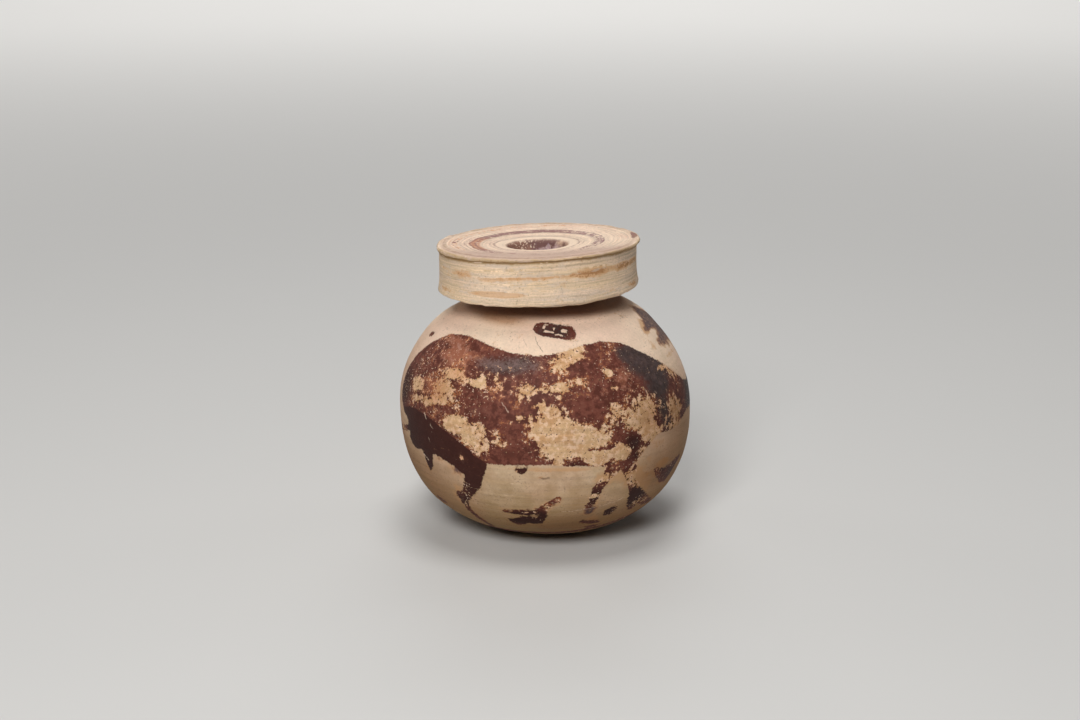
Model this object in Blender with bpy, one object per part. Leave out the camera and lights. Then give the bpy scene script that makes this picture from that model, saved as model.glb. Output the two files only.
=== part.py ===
"""Round aryballos: a thrown clay oil flask with a disc mouth and a strap handle.

Units are metres and +Z is up. The origin is the centre of the flat foot, and the front
of the flask faces -Y. The flask is one piece of fired clay: a hollow ball, a short neck,
a thick mouth disc that sits a little askew, and a strap handle at the back.
"""

import math

import bpy
from mathutils import Euler, Matrix, Vector
from mathutils.geometry import interpolate_bezier

MM = 0.001

# The ball
BODY_RADIUS = 32 * MM
BELLY_HEIGHT = 0.844 * BODY_RADIUS       # height of the widest ring above the foot
LOWER_DEPTH = 0.867 * BODY_RADIUS        # half-height of the lower half before the foot cuts it
LOWER_FULLNESS = 2.43                    # exponent of the lower half: 2 is a plain ellipse
UPPER_RISE = 0.851 * BODY_RADIUS         # half-height of the upper half
WALL = 3.3 * MM
FLOOR = 4.0 * MM
SHOULDER_RADIUS = 0.5 * BODY_RADIUS      # where the ball ends and the neck begins

# The neck and its bore
NECK_RADIUS = 10.4 * MM
NECK_HEIGHT = 52.9 * MM
BORE_RADIUS = 4.7 * MM

# The mouth disc. Heights on it are stated as depths below the rim's top plane.
DISC_RADIUS = 22.0 * MM
DISC_THICKNESS = 10.9 * MM
DISC_CENTRE = Vector((-1.7 * MM, 0.0, 63.15 * MM))
DISC_TILT = Euler((math.radians(-1.64), math.radians(-1.92), 0.0))
LIP_HEIGHT = 1.9 * MM
LIP_EDGE = 0.35 * MM                     # rounding of the lip's top edge
WAIST_DEPTH = 0.6 * MM                   # how far the disc's wall is hollowed in
BULGE_RADIUS = DISC_RADIUS - 0.2 * MM    # the lower edge of the disc's wall
DISH_DEPTH = 0.8 * MM
FUNNEL_RADIUS = 7.6 * MM

# The strap handle
HANDLE_WIDTH = 17.0 * MM
HANDLE_THICKNESS = 3.8 * MM
HANDLE_SQUARENESS = 2.8                  # exponent of its cross-section
HANDLE_ROOT_WIDENING = 0.25              # how much wider and thicker its two roots are
HANDLE_ROOT_THICKENING = 0.5
HANDLE_ROUTE = [Vector(point) * MM for point in [
    (-1.5, 16.0, 57.0), (-1.4, 23.6, 58.0), (-1.2, 28.1, 55.6), (-0.9, 29.0, 50.2),
    (-0.6, 29.0, 45.0), (-0.3, 28.2, 40.6), (0.0, 26.8, 36.6)]]

# Fineness of the facets
SIDES = 60
HANDLE_SIDES = 16
HANDLE_STEPS_PER_SPAN = 4

CLAY_COLOUR = (0.62, 0.45, 0.29, 1.0)
CLAY_ROUGHNESS = 0.7


def clear_scene():
    for item in list(bpy.data.objects):
        bpy.data.objects.remove(item, do_unlink=True)


def clay_material():
    material = bpy.data.materials.new("clay")
    material.use_nodes = True
    shader = material.node_tree.nodes["Principled BSDF"]
    shader.inputs["Base Color"].default_value = CLAY_COLOUR
    shader.inputs["Roughness"].default_value = CLAY_ROUGHNESS
    shader.inputs["Metallic"].default_value = 0.0
    return material


def curve_points(start, start_handle, end_handle, end, steps):
    """Points along one Bezier span in the (radius, height) plane, without its start."""
    knots = [Vector((radius, height)) for radius, height in (start, start_handle, end_handle, end)]
    return [tuple(point) for point in interpolate_bezier(*knots, steps + 1)][1:]


def ball_lower(radius, depth, steps, cut):
    """The lower half from the flat cut up to the widest ring, as (radius, height)."""
    power = 2.0 / LOWER_FULLNESS
    first = math.asin(cut ** (1.0 / power))
    points = []
    for step in range(steps + 1):
        angle = first * (1.0 - step / steps)
        points.append((radius * math.cos(angle) ** power,
                       BELLY_HEIGHT - depth * math.sin(angle) ** power))
    return points


def ball_upper(radius, rise, steps, top_radius):
    """The upper half from just above the widest ring in to top_radius, as (radius, height)."""
    last = math.acos(top_radius / radius)
    return [(radius * math.cos(last * step / steps), BELLY_HEIGHT + rise * math.sin(last * step / steps))
            for step in range(1, steps + 1)]


def leaning_in(points):
    """Rings that go over, one by one, from the ball's upright frame to the disc's."""
    return [(radius, height, step / len(points)) for step, (radius, height) in enumerate(points, 1)]


def on_disc(points):
    """Rings of the disc, from (radius, depth below the rim)."""
    return [(radius, DISC_CENTRE.z - depth, 1.0) for radius, depth in points]


def outer_profile():
    """Rings of the outside from the foot to the funnel, as (radius, height, share of the disc's frame)."""
    ball = ball_lower(BODY_RADIUS, LOWER_DEPTH, 11, BELLY_HEIGHT / LOWER_DEPTH)
    ball += ball_upper(BODY_RADIUS, UPPER_RISE, 9, SHOULDER_RADIUS)

    shoulder = ball[-1]
    slope = UPPER_RISE / BODY_RADIUS * SHOULDER_RADIUS / math.sqrt(BODY_RADIUS ** 2 - SHOULDER_RADIUS ** 2)
    reach = 2.6 * MM
    neck = curve_points(shoulder, (shoulder[0] - reach, shoulder[1] + slope * reach),
                        (NECK_RADIUS, NECK_HEIGHT - 1.0 * MM), (NECK_RADIUS, NECK_HEIGHT), 4)

    neck_top = DISC_CENTRE.z - NECK_HEIGHT
    underside = curve_points((NECK_RADIUS, neck_top), (NECK_RADIUS, neck_top - 0.8 * MM),
                             (NECK_RADIUS + 2 * MM, neck_top - 0.6 * MM),
                             (DISC_RADIUS - 1.9 * MM, DISC_THICKNESS), 4)
    edge = curve_points(underside[-1], (DISC_RADIUS - 0.8 * MM, DISC_THICKNESS),
                        (BULGE_RADIUS, DISC_THICKNESS - 0.4 * MM),
                        (BULGE_RADIUS, DISC_THICKNESS - 1.2 * MM), 3)
    waist = DISC_RADIUS - WAIST_DEPTH
    wall = curve_points(edge[-1], (waist - 0.1 * MM, DISC_THICKNESS - 3.5 * MM),
                        (waist, DISC_THICKNESS / 2), (waist, LIP_HEIGHT + 0.2 * MM), 4)
    lip = [(DISC_RADIUS - 0.3 * WAIST_DEPTH, LIP_HEIGHT * 0.85), (DISC_RADIUS, LIP_HEIGHT * 0.5),
           (DISC_RADIUS - 0.2 * LIP_EDGE, LIP_EDGE / 2), (DISC_RADIUS - LIP_EDGE, 0.0)]
    dish = curve_points(lip[-1], (0.8 * DISC_RADIUS, 0.0), (0.55 * DISC_RADIUS, DISH_DEPTH),
                        (FUNNEL_RADIUS, DISH_DEPTH), 4)
    rings = [(radius, height, 0.0) for radius, height in ball]
    return rings + leaning_in(neck) + on_disc(underside + edge + wall + lip + dish)


def hollow_profile():
    """Rings of the inside from the floor up through the bore and past the funnel."""
    ball = ball_lower(BODY_RADIUS - WALL, BELLY_HEIGHT - FLOOR, 8, 0.995)
    ball += ball_upper(BODY_RADIUS - WALL, UPPER_RISE - WALL, 8, BORE_RADIUS + 2.5 * MM)
    ceiling = ball[-1][1]
    throat = curve_points(ball[-1], (BORE_RADIUS + 0.8 * MM, ceiling + 0.2 * MM),
                          (BORE_RADIUS, ceiling + 0.8 * MM), (BORE_RADIUS, ceiling + 2.2 * MM), 3)
    funnel = [(BORE_RADIUS, 6.5 * MM)]
    funnel += curve_points(funnel[0], (BORE_RADIUS, 4.5 * MM), (6.0 * MM, 3.5 * MM),
                           (6.2 * MM, 2.2 * MM), 3)
    funnel += curve_points(funnel[-1], (6.4 * MM, 1.1 * MM), (6.9 * MM, DISH_DEPTH),
                           (FUNNEL_RADIUS, DISH_DEPTH - 0.02 * MM), 3)
    funnel.append((FUNNEL_RADIUS + 0.5 * MM, -2.0 * MM))
    rings = [(radius, height, 0.0) for radius, height in ball]
    return rings + leaning_in(throat) + on_disc(funnel)


def turned_solid(name, rings):
    """A closed solid turned from a profile. Rings lean over as they enter the disc's frame."""
    disc_frame = Matrix.LocRotScale(DISC_CENTRE, DISC_TILT, None)
    corners = []
    for radius, height, disc_share in rings:
        for side in range(SIDES):
            angle = 2 * math.pi * side / SIDES
            upright = Vector((radius * math.sin(angle), -radius * math.cos(angle), height))
            askew = disc_frame @ (upright - Vector((0, 0, DISC_CENTRE.z)))
            corners.append(upright.lerp(askew, disc_share))
    faces = ring_faces(len(rings), SIDES)
    return solid_object(name, corners, faces)


def ring_faces(rings, sides):
    """Quads between successive rings of corners, with a flat cap on the first and last."""
    faces = [tuple(reversed(range(sides)))]
    for ring in range(rings - 1):
        for side in range(sides):
            following = (side + 1) % sides
            faces.append((ring * sides + side, ring * sides + following,
                          (ring + 1) * sides + following, (ring + 1) * sides + side))
    faces.append(tuple(range((rings - 1) * sides, rings * sides)))
    return faces


def solid_object(name, corners, faces):
    mesh = bpy.data.meshes.new(name)
    mesh.from_pydata(corners, [], faces)
    mesh.update()
    solid = bpy.data.objects.new(name, mesh)
    bpy.context.scene.collection.objects.link(solid)
    return solid


def smooth_route(knots, steps_per_span):
    """A smooth curve through the knots, by Catmull-Rom spans."""
    route = []
    for index in range(len(knots) - 1):
        before = knots[max(index - 1, 0)]
        after = knots[min(index + 2, len(knots) - 1)]
        start, end = knots[index], knots[index + 1]
        span = interpolate_bezier(start, start + (end - before) / 6, end - (after - start) / 6,
                                  end, steps_per_span + 1)
        route += span[:-1]
    route.append(knots[-1])
    return route


def strap_handle(name):
    """A strap that leaves the disc's back wall and comes down on the shoulder."""
    route = smooth_route(HANDLE_ROUTE, HANDLE_STEPS_PER_SPAN)
    corners = []
    for index, centre in enumerate(route):
        along = (route[min(index + 1, len(route) - 1)] - route[max(index - 1, 0)]).normalized()
        across = Vector((1, 0, 0))
        outward = across.cross(along).normalized()
        root = abs(index / (len(route) - 1) * 2 - 1) ** 3
        half_width = HANDLE_WIDTH / 2 * (1 + HANDLE_ROOT_WIDENING * root)
        half_thickness = HANDLE_THICKNESS / 2 * (1 + HANDLE_ROOT_THICKENING * root)
        for side in range(HANDLE_SIDES):
            angle = 2 * math.pi * side / HANDLE_SIDES
            cosine, sine = math.cos(angle), math.sin(angle)
            wide = math.copysign(abs(cosine) ** (2 / HANDLE_SQUARENESS), cosine)
            thick = math.copysign(abs(sine) ** (2 / HANDLE_SQUARENESS), sine)
            corners.append(centre + across * wide * half_width + outward * thick * half_thickness)
    return solid_object(name, corners, ring_faces(len(route), HANDLE_SIDES))


def combine(solid, other, operation):
    """Join or cut one solid by another, which stays in the file as a guide."""
    other.hide_render = True
    other.display_type = "WIRE"
    modifier = solid.modifiers.new(other.name, "BOOLEAN")
    modifier.operation = operation
    modifier.solver = "EXACT"
    modifier.object = other


def build_aryballos():
    flask = turned_solid("aryballos", outer_profile())
    flask.data.materials.append(clay_material())
    flask.data.shade_smooth()
    flask.data.set_sharp_from_angle(angle=math.radians(40))
    combine(flask, strap_handle("strap"), "UNION")
    combine(flask, turned_solid("hollow", hollow_profile()), "DIFFERENCE")


clear_scene()
build_aryballos()
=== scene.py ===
"""The looks of a worn, painted round aryballos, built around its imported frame.

The flask is one piece of thrown clay. A Geometry Nodes tree turns its wall from a profile,
a strap handle is luted on, and chips and dents are pressed into the mesh. The picture, its
wear and its slips are laid on the surface as named attributes, which the clay material reads.
"""

import functools
import math

import bmesh
import bpy
import numpy as np
from bpy.props import FloatProperty, FloatVectorProperty, IntProperty, PointerProperty
from mathutils import Euler, Matrix, Vector, noise
from mathutils.geometry import interpolate_bezier


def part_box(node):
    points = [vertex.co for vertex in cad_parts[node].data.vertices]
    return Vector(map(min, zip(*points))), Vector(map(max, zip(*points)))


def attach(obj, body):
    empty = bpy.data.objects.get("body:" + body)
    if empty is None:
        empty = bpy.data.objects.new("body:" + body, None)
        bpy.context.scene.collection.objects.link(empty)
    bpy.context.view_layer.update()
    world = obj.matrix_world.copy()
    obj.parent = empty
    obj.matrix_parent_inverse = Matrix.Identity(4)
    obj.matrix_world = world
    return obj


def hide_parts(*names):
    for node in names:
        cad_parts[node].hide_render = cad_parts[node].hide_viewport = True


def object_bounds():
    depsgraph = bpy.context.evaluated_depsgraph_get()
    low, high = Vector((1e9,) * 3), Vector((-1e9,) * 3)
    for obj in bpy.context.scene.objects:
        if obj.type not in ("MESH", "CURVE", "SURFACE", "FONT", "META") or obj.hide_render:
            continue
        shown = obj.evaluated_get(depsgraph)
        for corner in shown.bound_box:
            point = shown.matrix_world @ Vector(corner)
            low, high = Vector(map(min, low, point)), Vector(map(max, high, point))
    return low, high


bl_info = {
    "name": "Aryballos",
    "version": (1, 0, 0),
    "blender": (4, 5, 0),
    "location": "View3D > Sidebar > Aryballos",
    "description": "Builds a worn, painted clay oil flask in its packed frame",
    "category": "Add Mesh",
}

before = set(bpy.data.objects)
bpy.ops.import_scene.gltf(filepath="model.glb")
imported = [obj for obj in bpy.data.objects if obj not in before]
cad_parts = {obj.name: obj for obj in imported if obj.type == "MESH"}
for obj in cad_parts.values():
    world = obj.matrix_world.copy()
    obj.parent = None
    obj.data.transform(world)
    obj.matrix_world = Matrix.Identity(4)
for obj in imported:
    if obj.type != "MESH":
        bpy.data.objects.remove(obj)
FRAME_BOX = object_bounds()
FLASK_LOW, FLASK_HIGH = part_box("aryballos")
MM = 0.001

# The ball
BALL_RADIUS = (FLASK_HIGH.x - FLASK_LOW.x) / 2
BELLY_HEIGHT = 0.844 * BALL_RADIUS
LOWER_DEPTH = 0.867 * BALL_RADIUS
LOWER_FULLNESS = 2.43
UPPER_RISE = 0.851 * BALL_RADIUS
SHOULDER_RADIUS = 0.5 * BALL_RADIUS
WALL = 3.3 * MM
FLOOR = 4.0 * MM
# Its middle in millimetres, which the material counts in
BALL_MIDDLE = Vector((0.0, 0.0, BELLY_HEIGHT / MM))
# Rings from the foot's middle to its edge, up to the belly, up to the neck, and inside
FOOT_STEPS = 8
LOWER_STEPS = 76
UPPER_STEPS = 62
INSIDE_STEPS = 9

# The neck and the mouth disc
NECK_RADIUS = 10.4 * MM
NECK_FILLET = 2.6 * MM
NECK_HEIGHT = 52.9 * MM
BORE_RADIUS = 4.7 * MM
DISC_RADIUS = 22.0 * MM
DISC_THICKNESS = 10.9 * MM
DISC_CENTRE = Vector((-1.7 * MM, 0.0, 63.15 * MM))
DISC_TILT = Euler((math.radians(-1.64), math.radians(-1.92), 0.0))
LIP_HEIGHT = 1.6 * MM
LIP_EDGE = 0.35 * MM
WAIST_DEPTH = 0.6 * MM
BULGE_RADIUS = DISC_RADIUS - 0.2 * MM
DISH_DEPTH = 0.8 * MM
FUNNEL_RADIUS = 7.6 * MM

# Throwing: the seed of its ripples, and how close two points are before they are one
THROWING_SEED = 7.0
WELD = 1e-6

# The strap handle: points down its middle, in millimetres
HANDLE_ROUTE = [(-1.5, 16.0, 57.0), (-1.4, 23.6, 58.0), (-1.2, 28.1, 55.6), (-0.9, 29.0, 50.2),
                (-0.6, 29.0, 45.0), (-0.3, 28.2, 40.6), (0.0, 26.8, 36.6)]
HANDLE_SQUARENESS = 2.8
HANDLE_ROOT_WIDENING = 0.25
HANDLE_ROOT_THICKENING = 0.5
HANDLE_UNEVENNESS = 0.06
HANDLE_SEED = 3.0
HANDLE_SIDES = 56
HANDLE_STEPS_PER_SPAN = 12

# Its luting: how far the clay is smoothed from the joints, how often and how firmly, and how
# far behind the axis the joints begin
LUTING_REACH = 2.4 * MM
LUTING_ROUNDS = 12
LUTING_PULL = 0.6
LUTING_BEHIND = 14.0 * MM
CHUNK = 2000

# The picture. Points are (degrees round from the front, height as a share of the ball's radius).
ANIMAL_OUTLINE = [
    (-79, 1.02), (-79, 1.12), (-75, 1.24), (-68, 1.34), (-58, 1.42), (-46, 1.44), (-32, 1.42),
    (-18, 1.385), (-3, 1.37), (8, 1.39), (20, 1.42), (30, 1.43), (42, 1.40), (52, 1.32),
    (62, 1.225), (70, 1.13), (75.5, 1.065), (83, 1.03), (94, 1.06), (102, 1.12), (108, 1.10),
    (114, 0.98), (120, 0.83), (125, 0.72), (123, 0.65), (118, 0.635), (112, 0.67), (107, 0.75),
    (101, 0.80), (92, 0.83), (82, 0.85), (73, 0.87), (66, 0.83), (58, 0.80), (48, 0.81), (42, 0.74),
    (37, 0.66), (33, 0.62), (26, 0.66), (14, 0.68), (0, 0.70), (-12, 0.69), (-22, 0.685),
    (-24, 0.60), (-26, 0.51), (-31, 0.42), (-35, 0.36), (-38.5, 0.355), (-39, 0.40), (-35.5, 0.46),
    (-33, 0.57), (-38, 0.62), (-46, 0.665), (-49, 0.66), (-50, 0.57), (-53, 0.52), (-55, 0.61),
    (-56, 0.66), (-62, 0.65), (-66, 0.70), (-65, 0.78), (-67.5, 0.83), (-72, 0.86), (-77, 0.93)]
# The near thigh, laid thicker, with its own firm edge: the same form
THIGH_OUTLINE = [
    (-68, 0.45), (-68, 0.80), (-73, 0.88), (-66, 0.92), (-60, 0.932), (-55, 0.925), (-48, 0.90),
    (-44.5, 0.875), (-41, 0.855), (-37.5, 0.825), (-34, 0.80), (-30.5, 0.765), (-28, 0.72),
    (-23, 0.685), (-22, 0.53), (-30, 0.50), (-38, 0.57), (-50, 0.45)]
# Brush strokes: (degrees, height share, half-width in millimetres) along each stroke
BRUSH_STROKES = [
    [(27, 0.66, 2.0), (24, 0.575, 1.1), (20.8, 0.50, 1.2), (20, 0.42, 1.0), (18.5, 0.36, 0.8)],
    [(18, 0.225, 0.6), (24, 0.205, 0.9), (28, 0.195, 0.5)],
    [(34, 0.63, 2.0), (36, 0.52, 1.1), (40, 0.42, 1.5), (45, 0.35, 1.7), (52, 0.29, 1.4),
     (58, 0.26, 0.8)],
    [(-38, 0.40, 1.2), (-37, 0.34, 1.0), (-37, 0.28, 0.65), (-35, 0.21, 0.75), (-32, 0.13, 0.7)],
    [(-65, 0.775, 0.7), (-73, 0.74, 0.6), (-80, 0.71, 0.7), (-86, 0.70, 1.2), (-91, 0.69, 2.0),
     (-94, 0.60, 2.1), (-97, 0.46, 1.5), (-96, 0.30, 1.2), (-94, 0.21, 1.1), (-87, 0.17, 0.9)],
    [(101, 1.10, 1.3), (106, 1.20, 1.0), (113, 1.27, 0.9), (121, 1.27, 0.5)],
    [(99, 1.10, 0.8), (95, 1.17, 1.2), (92, 1.22, 0.4)]]
# Fillers round the animal: the same kind of stroke, short and blunt
FILLERS = [
    [(-11, 0.658, 0.35), (-9, 0.652, 0.75), (-7, 0.668, 0.3)],
    [(-16, 0.25, 0.8), (-13, 0.235, 1.5), (-8, 0.265, 1.4), (-4, 0.25, 1.5), (-1, 0.295, 0.9)],
    [(-18, 0.33, 0.4), (-9, 0.325, 1.0), (-1, 0.335, 0.9)],
    [(-3, 0.35, 0.8), (1, 0.39, 0.9), (5, 0.445, 0.7)],
    [(29.6, 0.270, 0.8), (30.3, 0.290, 1.4), (31.1, 0.308, 1.1)],
    [(38.5, 0.42, 0.9), (40.5, 0.34, 1.2), (44, 0.275, 1.1)],
    [(48.5, 0.555, 0.5), (52, 0.515, 1.2), (57, 0.475, 1.9), (61, 0.49, 2.1), (65, 0.53, 1.3),
     (69, 0.548, 0.6)],
    [(57, 0.50, 1.6), (59.5, 0.445, 1.1), (60.5, 0.415, 0.5)],
    [(23, 0.152, 0.5), (25, 0.147, 0.9), (28, 0.15, 0.8)],
    [(-58, 0.28, 1.1), (-55, 0.27, 0.7)],
    [(-76, 1.37, 0.8), (-74, 1.375, 0.6)],
    [(140, 1.18, 2.4), (143, 1.17, 2.4)],
    [(138, 0.46, 1.8), (145, 0.45, 1.4)],
    [(-132, 1.08, 2.6), (-128, 1.07, 2.6)],
    [(-128, 0.50, 1.4), (-121, 0.48, 1.8)],
    [(176, 0.62, 2.6), (180, 0.62, 2.6)],
    [(92, 0.42, 1.5), (97, 0.40, 1.5)]]
# The dark oblong on the shoulder, and the ground line: one such stroke each
OBLONG = [(-2.0, 1.513, 1.85), (12.7, 1.488, 1.95)]
GROUND_LINE = [(-180, 0.13, 1.2), (-135, 0.12, 1.2), (-90, 0.115, 1.2), (-45, 0.10, 1.2),
               (0, 0.09, 1.2), (30, 0.115, 1.2), (60, 0.18, 1.3), (90, 0.20, 1.3),
               (135, 0.17, 1.2), (180, 0.13, 1.2)]
# Bare marks in the oblong: middle and half-sizes along it and up it, in millimetres
OBLONG_MARKS = [
    (-1.15, -0.62, 1.05, 0.24), (-2.35, 0.40, 0.26, 0.42), (-0.20, 0.42, 0.22, 0.30),
    (1.95, 0.30, 0.55, 0.42), (1.15, -1.05, 0.80, 0.19), (-2.1, 1.12, 0.42, 0.15)]

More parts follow.
